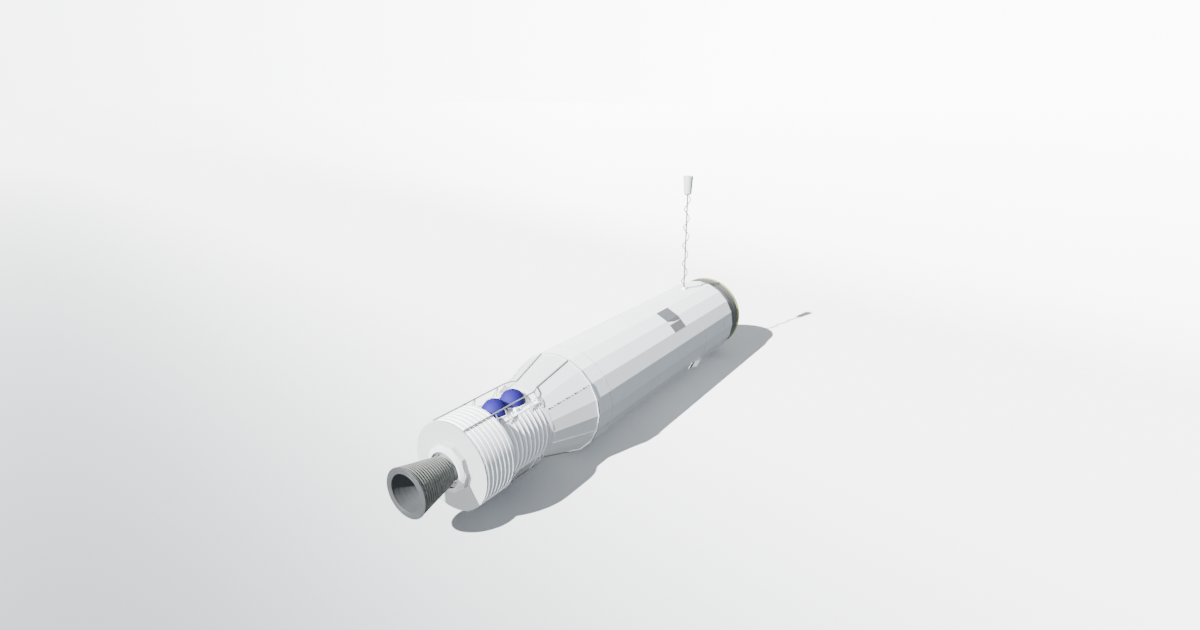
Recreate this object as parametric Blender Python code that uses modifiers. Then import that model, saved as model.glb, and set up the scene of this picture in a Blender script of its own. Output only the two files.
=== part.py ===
"""Docking target spacecraft: a 5 ft diameter rocket stage with a docking adapter on its nose.

Frame: X runs along the vehicle, +X towards the docking end; +Z up, +Y port. The origin is on the
vehicle's axis where the hull meets the flared cone. Angles are measured round the axis from the top
towards starboard (-Y). Everything is in metres.
"""
import math

import bmesh
import bpy
from mathutils import Matrix, Vector

GAP = 0.0003              # left between pieces that touch

# hull
HULL_SIDES = 20
HULL_RADIUS = 0.762
HULL_END = 4.834
RING_WIDTH = 0.030
RING_RADIUS = 0.774
RING_RECESS = 0.006       # the cone's end sits this far inside the ring, behind its flange
SKIRT_END = 0.370
TANK_END = 3.600
RACK_END = 4.450
BARREL_BORE = 0.706

# flared cone, waist and aft barrel
CONE_START = -0.745
CONE_START_RADIUS = 0.530
TURN_STEPS = 40
WAIST_START = -1.610
WAIST_RADIUS = 0.500
WAIST_HOOP = 0.022
WAIST_HOOP_HALF = 0.012
WAIST_HOOP_PITCH = 0.085
WAIST_HOOPS = 9
WAIST_FIRST_HOOP = -1.516
DECK_HEIGHT = 0.390
AFT_START = -2.107
AFT_RADIUS = 0.595
AFT_GROOVE = 0.016
AFT_GROOVE_WIDTH = 0.018
AFT_GROOVE_PITCH = 0.072
AFT_GROOVES = 7
AFT_FIRST_GROOVE = -2.098
PLATE_FACE = -2.127
ENGINE_WELL_RADIUS = 0.262
ENGINE_WELL_DEPTH = 0.150
ROUND_STEPS = 32
NOZZLE_STEPS = 48
PIN_SIDES = 16
OVERSHOOT = 0.100         # how far a cutter runs past the piece it cuts

# gas spheres in the waist
SPHERE_RADIUS = 0.175
SPHERE_X = (-0.945, -1.305)
SPHERE_HEIGHT = 0.400
WELL_RADIUS = 0.1765

# rails along the aft end
RAIL_RADIUS = 0.010
RAIL_Y = 0.252
RAIL_Z = 0.552
RAIL_START = -2.124
RAIL_BEND = -0.745
STRUT_RADIUS = 0.007
STRUTS = (                # stations of each strut's head on the rail and of its foot, between hoops
    (-1.560, -1.5585), (-1.390, -1.3885), (-1.390, -1.3035),
    (-0.940, -0.9635), (-0.940, -0.8785), (-0.790, -0.790),
)
STRUT_FOOT_ANGLE = 44.0
CONDUIT_ANGLE = 18.0
CONDUIT_LIFT = 0.014
CONDUIT_X = (-0.640, -0.320, -0.008)

# engine on its gimbal
GIMBAL_X = -2.160
GIMBAL_INNER = 0.205
GIMBAL_OUTER = 0.248
GIMBAL_HALF = 0.015
PIN_RADIUS = 0.012
PIN_CLEARANCE = 0.0005
MOUNT_PIN = (0.230, 0.280)        # how far out each pin starts and ends
MOUNT_PIN_HOLE = (0.200, 0.285)
CHAMBER_PIN = (0.160, 0.230)
CHAMBER_PIN_HOLE = (0.180, 0.236)
MOUNT_SIDES = 10
MOUNT_AFT = -2.194
MOUNT_RADIUS = 0.322
SHROUD = ((0.0, 0.266), (0.0, 0.305), (-0.021, 0.300), (-0.046, 0.268), (-0.046, 0.240), (-0.021, 0.258))
CHAMBER_RADIUS = 0.178
CHAMBER_FRONT = -2.030
CHAMBER_FRONT_RADIUS = 0.130
CHAMBER_SHOULDER = 0.030
NOZZLE_FRONT = -2.249
NOZZLE_FRONT_RADIUS = 0.195
NOZZLE_EXIT = -2.826
NOZZLE_EXIT_RADIUS = 0.325
NOZZLE_HOLE = 0.243
NOZZLE_HOLLOW = ((-2.640, 0.205), (-2.460, 0.150), (-2.380, 0.105), (-2.340, 0.0))
NOZZLE_STEP = 0.004               # how far the lip overhangs the nozzle's two edges
LIP_END = -2.836

# boom antenna
BOOM_X = 4.147
MAST_RADIUS = 0.013
MAST_BOTTOM = 0.700
MAST_TOP = 2.561
MAST_CLEARANCE = 0.002
WELL_BOTTOM = -0.720
WELL_CLEARANCE = 0.008
CUP = ((0.0, 0.020), (0.034, 0.070), (0.353, 0.092), (0.357, 0.088))   # heights over its foot, radii
GUIDE_TOP = 0.800
GUIDE_RADII = (0.042, 0.030)
CABLE_BOTTOM = 0.812
CABLE_TOP = 2.545
CABLE_TURNS = 5
CABLE_COIL = 0.055
CABLE_RADIUS = 0.008

# docking adapter and cone
ADAPTER_RADIUS = 0.734
ADAPTER_BORE = 0.7285
ADAPTER_END = 5.080
SKIRT_RADIUS = 0.7225
SKIRT_BORE = 0.7160
RIM_START = 5.225
RIM_END = 5.290
RIM_RADIUS = 0.728
CONE_SIDES = 36
CONE_MOUTH = 0.691
CONE_THROAT = 0.420
CONE_BACK = 4.620
CONE_WALL = 0.010
CONE_SETBACK = 0.004              # how far the cone's edge sits behind the rim's face
CONE_BACK_FLANGE = 0.022
CONE_FLANGE_THICK = 0.020
CONE_PHASE = 5.0
BULKHEAD = 0.008
BULKHEAD_MARGIN = 0.010
FRAME_RING_X = 4.930
FRAME_RING_THICK = 0.015
DAMPER_CIRCLE = 0.600
DAMPER_RADIUS = 0.030
DAMPER_END = 4.700
ROD_RADIUS = 0.014
ROD_START = 4.620
INDEX_SLOT_ANGLE = 22.0
INDEX_SLOT_WIDTH = 0.045
INDEX_SLOT_MARGIN = 0.012
SLOT_REACH = (0.600, 0.900)
NOTCH_REACH = (0.400, 0.900)
PANEL_REACH = (0.400, 1.200)
NOTCH = ((5.340, 8.5), (5.051, 1.5))      # stations and half angles of the notch's sides
RIM_BEVEL = 0.006
RIM_BACK = 0.012
LATCH_X = 4.840
LATCH_SIZE = (0.120, 0.062, 0.034)
LATCHES = {"starboard": 60.0, "bottom": 180.0, "port": 300.0}
DAMPERS = {"top_starboard": 45.0, "bottom_starboard": 135.0, "bottom_port": 225.0, "top_port": 315.0}
DAMPER_FLOOR = 0.020
ROD_CLEARANCE = 0.001

# side fittings
PANEL_START = 2.610
PANEL_END = 3.020
PANEL_LIFT = 0.004
UPPER_PANEL = ((PANEL_START, 18.3), (PANEL_START, 36.5), (PANEL_END, 42.0), (PANEL_END, 18.3))
LOWER_PANEL = ((PANEL_START, 42.5), (PANEL_START, 53.7), (PANEL_END, 53.7), (PANEL_END, 42.4))
POD_ANGLE = 117.0
POD_WIDTH = 0.150
POD_OUTLINE = (           # stations and heights over the hull's flat, from the aft end
    (3.150, 0.0), (3.150, 0.012), (3.290, 0.012), (3.380, 0.062), (3.460, 0.062), (3.500, 0.0),
)

COLOURS = {
    "white": ((0.83, 0.84, 0.85), 0.55, 0.0),
    "steel": ((0.32, 0.33, 0.34), 0.45, 0.6),
    "rail": ((0.42, 0.43, 0.44), 0.45, 0.5),
    "blue": ((0.10, 0.09, 0.52), 0.45, 0.0),
    "nozzle": ((0.16, 0.165, 0.155), 0.65, 0.3),
    "lip": ((0.27, 0.28, 0.29), 0.60, 0.3),
    "yellow_green": ((0.45, 0.47, 0.16), 0.55, 0.1),
    "panel": ((0.30, 0.32, 0.34), 0.50, 0.2),
}


def clear_scene():
    for obj in list(bpy.data.objects):
        bpy.data.objects.remove(obj, do_unlink=True)


def new_collection(name):
    collection = bpy.data.collections.new(name)
    bpy.context.scene.collection.children.link(collection)
    return collection


clear_scene()
PARTS = new_collection("docking_target_spacecraft")
CUTTERS = new_collection("cutters")


def finish_of(name):
    """The material of that name, made once."""
    if name in bpy.data.materials:
        return bpy.data.materials[name]
    colour, roughness, metallic = COLOURS[name]
    material = bpy.data.materials.new(name)
    material.use_nodes = True
    shader = material.node_tree.nodes["Principled BSDF"]
    shader.inputs["Base Color"].default_value = (*colour, 1.0)
    shader.inputs["Roughness"].default_value = roughness
    shader.inputs["Metallic"].default_value = metallic
    return material


def on_axis(x, radius, angle):
    """The point at that station and radius, angle degrees from the top towards starboard."""
    turn = math.radians(angle)
    return Vector((x, -radius * math.sin(turn), radius * math.cos(turn)))


def add_object(name, mesh, collection):
    obj = bpy.data.objects.new(name, mesh)
    collection.objects.link(obj)
    if collection is CUTTERS:
        obj.hide_render = True
        obj.display_type = "WIRE"
    return obj


def solid_mesh(bm, name):
    """The finished mesh: welded, faces outward and shaded smooth over its round parts."""
    bmesh.ops.remove_doubles(bm, verts=bm.verts, dist=1e-5)
    bmesh.ops.recalc_face_normals(bm, faces=bm.faces)
    mesh = bpy.data.meshes.new(name)
    bm.to_mesh(mesh)
    bm.free()
    mesh.shade_smooth()
    mesh.set_sharp_from_angle(angle=math.radians(15))
    return mesh


def baked(obj, name, collection):
    """Replaces obj with a mesh object that holds its evaluated shape in world space."""
    graph = bpy.context.evaluated_depsgraph_get()
    mesh = bpy.data.meshes.new_from_object(obj.evaluated_get(graph))
    mesh.transform(obj.matrix_world)
    bpy.data.objects.remove(obj, do_unlink=True)
    bm = bmesh.new()
    bm.from_mesh(mesh)
    bpy.data.meshes.remove(mesh)
    return add_object(name, solid_mesh(bm, name), collection)


def turned(name, profile, steps=TURN_STEPS, phase=0.0, collection=None):
    """A closed profile of (x, radius) points turned round the vehicle's axis."""
    mesh = bpy.data.meshes.new(name)
    points = [(x, 0.0, radius) for x, radius in profile]
    edges = [(i, (i + 1) % len(points)) for i in range(len(points))]
    if profile[0][1] == 0.0 and profile[-1][1] == 0.0:
        edges.pop()
    mesh.from_pydata(points, edges, [])
    obj = add_object(name + "_profile", mesh, CUTTERS)
    screw = obj.modifiers.new("turn", "SCREW")
    screw.axis = "X"
    screw.steps = steps
    screw.render_steps = steps
    screw.use_merge_vertices = True
    screw.merge_threshold = 0.0001
    obj.rotation_euler.x = math.radians(phase)
    bpy.context.view_layer.update()
    return baked(obj, name, collection or PARTS)


def box(name, size, centre, turn=None, collection=None):
    bm = bmesh.new()
    bmesh.ops.create_cube(bm, size=1.0)
    bmesh.ops.scale(bm, vec=size, verts=bm.verts)
    if turn:
        bmesh.ops.transform(bm, matrix=turn, verts=bm.verts)
    bmesh.ops.translate(bm, vec=centre, verts=bm.verts)
    return add_object(name, solid_mesh(bm, name), collection or PARTS)


def rod(name, start, end, radius, sides=12, end_radius=None, collection=None):
    """A straight round bar, or a taper, from start to end."""
    start, end = Vector(start), Vector(end)
    along = end - start
    bm = bmesh.new()
    bmesh.ops.create_cone(
        bm, cap_ends=True, segments=sides, radius1=radius,
        radius2=radius if end_radius is None else end_radius, depth=along.length,
    )
    turn = Vector((0, 0, 1)).rotation_difference(along).to_matrix().to_4x4()
    bmesh.ops.transform(bm, matrix=turn, verts=bm.verts)
    bmesh.ops.translate(bm, vec=(start + end) / 2, verts=bm.verts)
    return add_object(name, solid_mesh(bm, name), collection or PARTS)


def tube(name, points, radius, collection=None, resolution=2):
    """A round tube through the points, with closed ends."""
    curve = bpy.data.curves.new(name, "CURVE")
    curve.dimensions = "3D"
    curve.bevel_depth = radius
    curve.bevel_resolution = resolution
    curve.use_fill_caps = True
    spline = curve.splines.new("POLY")
    spline.points.add(len(points) - 1)
    for place, point in zip(spline.points, points):
        place.co = (*point, 1.0)
    obj = bpy.data.objects.new(name + "_curve", curve)
    CUTTERS.objects.link(obj)
    bpy.context.view_layer.update()
    return baked(obj, name, collection or PARTS)


def radial_wedge(name, corners, inner, outer):
    """A wedge that spreads from the axis through (x, angle) corners, between two radii."""
    bm = bmesh.new()
    for x, angle in corners:
        bm.verts.new(on_axis(x, inner, angle))
        bm.verts.new(on_axis(x, outer, angle))
    bmesh.ops.convex_hull(bm, input=bm.verts)
    return add_object(name, solid_mesh(bm, name), CUTTERS)


def combine(target, other, operation):
    modifier = target.modifiers.new(operation.lower(), "BOOLEAN")
    modifier.operation = operation
    modifier.solver = "EXACT"
    modifier.object = other


def cut(target, *others):
    for other in others:
        combine(target, other, "DIFFERENCE")


def join(target, *others):
    for other in others:
        combine(target, other, "UNION")


def finished(obj, finish):
    obj.data.materials.clear()
    obj.data.materials.append(finish_of(finish))
    return obj


def pivot_at(obj, point):
    """Moves the object's origin onto its joint's axis, leaving its shape where it is."""
    obj.data.transform(Matrix.Translation(-Vector(point)))
    obj.location = point


def hull_prism(name, start, end, radius=HULL_RADIUS):
    return turned(name, [(start, 0.0), (start, radius), (end, radius), (end, 0.0)], HULL_SIDES)


def make_hull():
    ring = turned(
        "junction_ring",
        [(RING_RECESS, 0.0), (RING_RECESS, HULL_RADIUS + 2 * GAP), (0.0, HULL_RADIUS + 2 * GAP),
         (0.0, RING_RADIUS), (RING_WIDTH, RING_RADIUS), (RING_WIDTH, 0.0)],
        HULL_SIDES,
    )
    finished(ring, "white")
    finished(hull_prism("aft_skirt", RING_WIDTH + GAP, SKIRT_END), "white")
    finished(hull_prism("tank_section", SKIRT_END + GAP, TANK_END), "white")
    rack = finished(hull_prism("forward_rack", TANK_END + GAP, RACK_END), "white")
    well = rod(
        "boom_well", (BOOM_X, 0, WELL_BOTTOM), (BOOM_X, 0, HULL_RADIUS + OVERSHOOT),
        MAST_RADIUS + WELL_CLEARANCE, PIN_SIDES, collection=CUTTERS,
    )
    cut(rack, well)
    start = RACK_END + GAP
    barrel = hull_prism("adapter_barrel", start, HULL_END)
    bore = turned(
        "barrel_bore",
        [(start - OVERSHOOT, 0.0), (start - OVERSHOOT, BARREL_BORE),
         (HULL_END + OVERSHOOT, BARREL_BORE), (HULL_END + OVERSHOOT, 0.0)],
        CONE_SIDES, CONE_PHASE, CUTTERS,
    )
    cut(barrel, bore)
    finished(barrel, "white")


def make_flare_cone():
    start = CONE_START + GAP
    cone = turned(
        "flare_cone",
        [(start, 0.0), (start, CONE_START_RADIUS), (0.0, HULL_RADIUS),
         (RING_RECESS - GAP, HULL_RADIUS), (RING_RECESS - GAP, 0.0)],
        HULL_SIDES,
    )
    finished(cone, "white")


def make_waist():
    """The waist's hoops stand proud of its skin; flat decks top and bottom carry the spheres."""
    profile = [(WAIST_START, 0.0), (WAIST_START, WAIST_RADIUS)]
    for i in range(WAIST_HOOPS):
        x = WAIST_FIRST_HOOP + i * WAIST_HOOP_PITCH
        profile += [
            (x - WAIST_HOOP_HALF, WAIST_RADIUS), (x, WAIST_RADIUS + WAIST_HOOP),
            (x + WAIST_HOOP_HALF, WAIST_RADIUS),
        ]
    profile += [(CONE_START, WAIST_RADIUS), (CONE_START, 0.0)]
    waist = finished(turned("waist_section", profile), "white")
    length = CONE_START - WAIST_START + OVERSHOOT
    middle = (CONE_START + WAIST_START) / 2
    for side, place in ((1, "top"), (-1, "bottom")):
        deck = box(
            f"{place}_deck_cut", (length, 4 * WAIST_RADIUS, WAIST_RADIUS),
            (middle, 0, side * (DECK_HEIGHT + WAIST_RADIUS / 2)), collection=CUTTERS,
        )
        cut(waist, deck)
        for i, x in enumerate(SPHERE_X):
            floor = side * (SPHERE_HEIGHT - SPHERE_RADIUS - GAP)
            well = rod(
                f"{place}_well_{i}", (x, 0, floor), (x, 0, side * AFT_RADIUS), WELL_RADIUS,
                ROUND_STEPS,
                collection=CUTTERS,
            )
            cut(waist, well)
            make_sphere(f"gas_sphere_{place}_{('forward', 'aft')[i]}", x, side * SPHERE_HEIGHT)


def make_sphere(name, x, z):
    bm = bmesh.new()
    bmesh.ops.create_uvsphere(bm, u_segments=24, v_segments=12, radius=SPHERE_RADIUS)
    bmesh.ops.translate(bm, vec=(x, 0, z), verts=bm.verts)
    finished(add_object(name, solid_mesh(bm, name), PARTS), "blue")


def make_aft_barrel():
    profile = [(AFT_START, 0.0), (AFT_START, AFT_RADIUS)]
    for i in range(AFT_GROOVES):
        x = AFT_FIRST_GROOVE + i * AFT_GROOVE_PITCH
        profile += [
            (x, AFT_RADIUS), (x + AFT_GROOVE_WIDTH / 2, AFT_RADIUS - AFT_GROOVE),
            (x + AFT_GROOVE_WIDTH, AFT_RADIUS),
        ]
    end = WAIST_START - GAP
    profile += [(end, AFT_RADIUS), (end, 0.0)]
    barrel = finished(turned("aft_barrel", profile), "white")
    plate = turned(
        "aft_plate",
        [(PLATE_FACE, 0.0), (PLATE_FACE, AFT_RADIUS), (AFT_START - GAP, AFT_RADIUS),
         (AFT_START - GAP, 0.0)],
    )
    finished(plate, "white")
    well = rod(
        "engine_well", (PLATE_FACE - OVERSHOOT, 0, 0), (AFT_START + ENGINE_WELL_DEPTH, 0, 0),
        ENGINE_WELL_RADIUS, ROUND_STEPS, collection=CUTTERS,
    )
    cut(barrel, well)
    cut(plate, mount_prism("plate_bore", PLATE_FACE - OVERSHOOT, 0.0, 2 * GAP, CUTTERS))


def mount_prism(name, start, end, margin=0.0, collection=None):
    """The engine mount's outline, which the aft plate fits round."""
    radius = MOUNT_RADIUS + margin
    return turned(
        name, [(start, 0.0), (start, radius), (end, radius), (end, 0.0)], MOUNT_SIDES,
        180.0 / MOUNT_SIDES, collection,
    )


def cone_radius(x):
    """The flared cone's radius at the edges between its flats."""
    share = (x - CONE_START) / -CONE_START
    return CONE_START_RADIUS + share * (HULL_RADIUS - CONE_START_RADIUS)


def make_rail(name, y_side, z_side):
    """A rail along the aft end that bends up the flared cone, with struts down to the waist."""
    angle = -CONDUIT_ANGLE * y_side
    bend = [
        (RAIL_START, RAIL_Y, RAIL_Z),
        (RAIL_BEND - 0.05, RAIL_Y, RAIL_Z),
        (RAIL_BEND, RAIL_Y - 0.015, RAIL_Z + 0.002),
    ]
    path = [Vector((x, y * y_side, z)) for x, y, z in bend]
    for x in CONDUIT_X:
        path.append(on_axis(x, cone_radius(x) + CONDUIT_LIFT, angle))
    rail = tube(name, [(p.x, p.y, p.z * z_side) for p in path], RAIL_RADIUS)
    foot_radius = WAIST_RADIUS + STRUT_RADIUS + 0.001
    for i, (head_x, foot_x) in enumerate(STRUTS):
        foot = on_axis(foot_x, foot_radius, -STRUT_FOOT_ANGLE * y_side)
        strut = tube(
            f"{name}_strut_{i}",
            [(head_x, RAIL_Y * y_side, RAIL_Z * z_side), (foot.x, foot.y, foot.z * z_side)],
            STRUT_RADIUS, CUTTERS,
        )
        join(rail, strut)
    finished(rail, "rail")


def make_rails():
    for y_side, side in ((-1, "starboard"), (1, "port")):
        for z_side, place in ((1, "top"), (-1, "bottom")):
            make_rail(f"rail_{place}_{side}", y_side, z_side)


def ring_profile(start, end, inner, outer):
    return [(start, inner), (start, outer), (end, outer), (end, inner)]


def cross_pin(name, axis, reach, side, radius):
    """A pin on the gimbal plane, along Y or Z, between two distances from the centre."""
    outward = Vector((0, side, 0)) if axis == "Y" else Vector((0, 0, side))
    centre = Vector((GIMBAL_X, 0, 0))
    ends = [centre + outward * distance for distance in reach]
    return rod(name, *ends, radius, PIN_SIDES, collection=CUTTERS)


def make_engine():
    """The engine tilts on Y pins in the gimbal ring, which turns on Z pins in the mount ring."""
    mount = mount_prism("engine_mount_ring", MOUNT_AFT, AFT_START - GAP)
    bore = rod(
        "mount_bore", (MOUNT_AFT - OVERSHOOT, 0, 0), (0, 0, 0), ENGINE_WELL_RADIUS, ROUND_STEPS,
        collection=CUTTERS,
    )
    cut(mount, bore)
    ring = turned(
        "gimbal_ring",
        ring_profile(GIMBAL_X - GIMBAL_HALF, GIMBAL_X + GIMBAL_HALF, GIMBAL_INNER, GIMBAL_OUTER),
        ROUND_STEPS,
    )
    chamber = turned(
        "thrust_chamber",
        [(CHAMBER_FRONT, 0.0), (CHAMBER_FRONT, CHAMBER_FRONT_RADIUS),
         (GIMBAL_X + CHAMBER_SHOULDER, CHAMBER_RADIUS), (NOZZLE_FRONT + GAP, CHAMBER_RADIUS),
         (NOZZLE_FRONT + GAP, 0.0)],
        ROUND_STEPS,
    )
    hole = PIN_RADIUS + PIN_CLEARANCE
    for side, where in ((1, "high"), (-1, "low")):
        cut(mount, cross_pin(f"mount_hole_{where}", "Z", MOUNT_PIN_HOLE, side, hole))
        join(ring, cross_pin(f"ring_pin_{where}", "Z", MOUNT_PIN, side, PIN_RADIUS))
        cut(ring, cross_pin(f"ring_hole_{where}", "Y", CHAMBER_PIN_HOLE, side, hole))
        join(chamber, cross_pin(f"chamber_pin_{where}", "Y", CHAMBER_PIN, side, PIN_RADIUS))
    for piece, finish in ((mount, "white"), (ring, "steel"), (chamber, "steel")):
        finished(piece, finish)
    shroud = turned(
        "engine_shroud", [(MOUNT_AFT - GAP + x, radius) for x, radius in SHROUD], ROUND_STEPS,
    )
    finished(shroud, "white")
    nozzle = turned(
        "nozzle",
        [(NOZZLE_FRONT, 0.0), (NOZZLE_FRONT, NOZZLE_FRONT_RADIUS),
         (NOZZLE_EXIT, NOZZLE_EXIT_RADIUS - NOZZLE_STEP), (NOZZLE_EXIT, NOZZLE_HOLE + NOZZLE_STEP),
         *NOZZLE_HOLLOW],
        NOZZLE_STEPS,
    )
    finished(nozzle, "nozzle")
    lip = turned(
        "nozzle_lip",
        ring_profile(LIP_END, NOZZLE_EXIT - GAP, NOZZLE_HOLE, NOZZLE_EXIT_RADIUS),
        NOZZLE_STEPS,
    )
    finished(lip, "lip")
    for piece in (ring, chamber, nozzle, lip):
        pivot_at(piece, (GIMBAL_X, 0, 0))


def helix(bottom, top, radius, turns, per_turn=12):
    count = turns * per_turn
    for i in range(count + 1):
        turn = 2 * math.pi * i / per_turn
        height = bottom + (top - bottom) * i / count
        yield (BOOM_X + radius * math.cos(turn), radius * math.sin(turn), height)


def make_boom():
    """A boom that draws down into the forward rack, its cable wound round it."""
    guide = rod(
        "boom_guide", (BOOM_X, 0, HULL_RADIUS + GAP), (BOOM_X, 0, GUIDE_TOP), GUIDE_RADII[0],
        PIN_SIDES, GUIDE_RADII[1],
    )
    bore = rod(
        "guide_bore", (BOOM_X, 0, HULL_RADIUS - OVERSHOOT), (BOOM_X, 0, GUIDE_TOP + OVERSHOOT),
        MAST_RADIUS + MAST_CLEARANCE, PIN_SIDES, collection=CUTTERS,
    )
    cut(guide, bore)
    finished(guide, "white")
    foot = (BOOM_X, 0, HULL_RADIUS)
    mast = rod(
        "boom_mast", (BOOM_X, 0, MAST_BOTTOM), (BOOM_X, 0, MAST_TOP), MAST_RADIUS, PIN_SIDES,
    )
    outline = [(0.0, 0.0), *CUP, (CUP[-1][0], 0.0)]
    cup = turned("antenna_cup", outline, ROUND_STEPS)
    upright = Matrix.Rotation(math.radians(-90.0), 4, "Y")
    cup.data.transform(Matrix.Translation((BOOM_X, 0, MAST_TOP + GAP)) @ upright)
    for piece, finish in ((mast, "rail"), (cup, "white")):
        pivot_at(finished(piece, finish), foot)
    cable = tube(
        "antenna_cable", list(helix(CABLE_BOTTOM, CABLE_TOP, CABLE_COIL, CABLE_TURNS)), CABLE_RADIUS,
    )
    finished(cable, "rail")


def docking_radius(x):
    """The docking cone's inner radius, which narrows towards its back."""
    share = (x - CONE_BACK) / (RIM_END - CONE_BACK)
    return CONE_THROAT + share * (CONE_MOUTH - CONE_THROAT)


def cone_back(x):
    """The radius at station x that clears the outside of the docking cone's wall."""
    return docking_radius(x) + CONE_WALL + ROD_CLEARANCE * 2


def make_docking_cone():
    front = RIM_END - CONE_SETBACK
    flange = CONE_BACK + CONE_FLANGE_THICK
    cone = turned(
        "docking_cone",
        [(CONE_BACK, CONE_THROAT), (CONE_BACK, CONE_THROAT + CONE_BACK_FLANGE),
         (flange, docking_radius(flange) + CONE_WALL),
         (front, docking_radius(front) + CONE_WALL), (front, docking_radius(front))],
        CONE_SIDES, CONE_PHASE,
    )
    corners = [(x, side * angle) for x, angle in NOTCH for side in (-1, 1)]
    cut(cone, radial_wedge("index_notch", corners, NOTCH_REACH[0], NOTCH_REACH[1]))
    rim = turned(
        "cone_rim",
        [(RIM_START, SKIRT_BORE + ROD_CLEARANCE), (RIM_START, RIM_RADIUS),
         (RIM_END - RIM_BEVEL, RIM_RADIUS), (RIM_END, RIM_RADIUS - RIM_BEVEL),
         (RIM_END, cone_back(RIM_END)), (RIM_END - RIM_BACK, cone_back(RIM_END))],
        CONE_SIDES, CONE_PHASE,
    )
    skirt = turned(
        "cone_skirt",
        ring_profile(FRAME_RING_X + RIM_BACK, RIM_START - GAP, SKIRT_BORE, SKIRT_RADIUS),
        CONE_SIDES, CONE_PHASE,
    )
    back = FRAME_RING_X - FRAME_RING_THICK
    frame = turned(
        "cone_frame_ring",
        [(back, cone_back(back)), (back, SKIRT_RADIUS), (FRAME_RING_X, SKIRT_RADIUS),
         (FRAME_RING_X, cone_back(FRAME_RING_X))],
        CONE_SIDES, CONE_PHASE,
    )
    for piece, finish in ((cone, "steel"), (rim, "yellow_green"), (skirt, "steel"), (frame, "steel")):
        pivot_at(finished(piece, finish), (FRAME_RING_X, 0, 0))
    make_latches()
    make_dampers(back)


def make_latches():
    """Three latch housings lie on the cone's wall, a third of a turn apart."""
    slope = math.atan2(CONE_MOUTH - CONE_THROAT, RIM_END - CONE_BACK)
    flat = docking_radius(LATCH_X) * math.cos(math.radians(180.0 / CONE_SIDES))
    lift = LATCH_SIZE[2] / 2 + ROD_CLEARANCE
    for where, angle in LATCHES.items():
        inward = on_axis(0.0, -math.cos(slope), angle) + Vector((math.sin(slope), 0, 0))
        turn = Matrix.Rotation(math.radians(angle), 4, "X") @ Matrix.Rotation(-slope, 4, "Y")
        centre = on_axis(LATCH_X, flat, angle) + inward * lift
        latch = box(f"docking_latch_{where}", LATCH_SIZE, centre, turn)
        pivot_at(finished(latch, "panel"), (FRAME_RING_X, 0, 0))


def make_dampers(frame_back):
    """Dampers between bulkhead and cone: cylinders stay with the hull, rods move with the cone."""
    start = RACK_END + GAP + BULKHEAD + GAP
    for where, angle in DAMPERS.items():
        cylinder = rod(
            f"damper_{where}", on_axis(start, DAMPER_CIRCLE, angle),
            on_axis(DAMPER_END, DAMPER_CIRCLE, angle), DAMPER_RADIUS, PIN_SIDES,
        )
        bore = rod(
            f"damper_bore_{where}", on_axis(start + DAMPER_FLOOR, DAMPER_CIRCLE, angle),
            on_axis(DAMPER_END + OVERSHOOT, DAMPER_CIRCLE, angle), ROD_RADIUS + ROD_CLEARANCE,
            PIN_SIDES, collection=CUTTERS,
        )
        cut(cylinder, bore)
        finished(cylinder, "panel")
        bar = rod(
            f"damper_rod_{where}", on_axis(ROD_START, DAMPER_CIRCLE, angle),
            on_axis(frame_back - GAP, DAMPER_CIRCLE, angle), ROD_RADIUS,
        )
        pivot_at(finished(bar, "rail"), (FRAME_RING_X, 0, 0))


def make_adapter():
    start = RACK_END + GAP
    bulkhead = turned(
        "adapter_bulkhead",
        [(start, 0.0), (start, BARREL_BORE - BULKHEAD_MARGIN),
         (start + BULKHEAD, BARREL_BORE - BULKHEAD_MARGIN), (start + BULKHEAD, 0.0)],
        CONE_SIDES, CONE_PHASE,
    )
    finished(bulkhead, "panel")
    ring = turned(
        "adapter_ring", ring_profile(HULL_END + GAP, ADAPTER_END, ADAPTER_BORE, ADAPTER_RADIUS),
        HULL_SIDES * 2,
    )
    half = math.degrees(INDEX_SLOT_WIDTH / 2 / ADAPTER_RADIUS)
    corners = [
        (x, INDEX_SLOT_ANGLE + side * half)
        for x in (HULL_END + INDEX_SLOT_MARGIN, ADAPTER_END - INDEX_SLOT_MARGIN)
        for side in (-1, 1)
    ]
    cut(ring, radial_wedge("index_slot", corners, SLOT_REACH[0], SLOT_REACH[1]))
    finished(ring, "steel")


def make_side_panel(name, corners):
    """A thin plate that follows the hull's flats inside (x, angle) corners."""
    skin = turned(
        name,
        ring_profile(
            PANEL_START - OVERSHOOT, PANEL_END + OVERSHOOT, HULL_RADIUS + GAP,
            HULL_RADIUS + PANEL_LIFT,
        ),
        HULL_SIDES,
    )
    outline = radial_wedge(name + "_outline", corners, PANEL_REACH[0], PANEL_REACH[1])
    combine(skin, outline, "INTERSECT")
    finished(skin, "panel")


def make_side_pod(name, side):
    """A hooded pod behind a low base plate, on one flat low on the hull's side."""
    flat = HULL_RADIUS * math.cos(math.radians(180 / HULL_SIDES)) + GAP
    bm = bmesh.new()
    edge = [bm.verts.new((x, -POD_WIDTH / 2, flat + height)) for x, height in POD_OUTLINE]
    face = bm.faces.new(edge)
    swept = bmesh.ops.extrude_face_region(bm, geom=[face])["geom"]
    moved = [item for item in swept if isinstance(item, bmesh.types.BMVert)]
    bmesh.ops.translate(bm, vec=(0, POD_WIDTH, 0), verts=moved)
    turn = Matrix.Rotation(math.radians(POD_ANGLE * side), 4, "X")
    bmesh.ops.transform(bm, matrix=turn, verts=bm.verts)
    finished(add_object(name, solid_mesh(bm, name), PARTS), "white")


def make_side_fittings():
    make_side_panel("side_panel_upper", UPPER_PANEL)
    make_side_panel("side_panel_lower", LOWER_PANEL)
    make_side_pod("side_pod_starboard", 1)
    make_side_pod("side_pod_port", -1)


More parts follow.
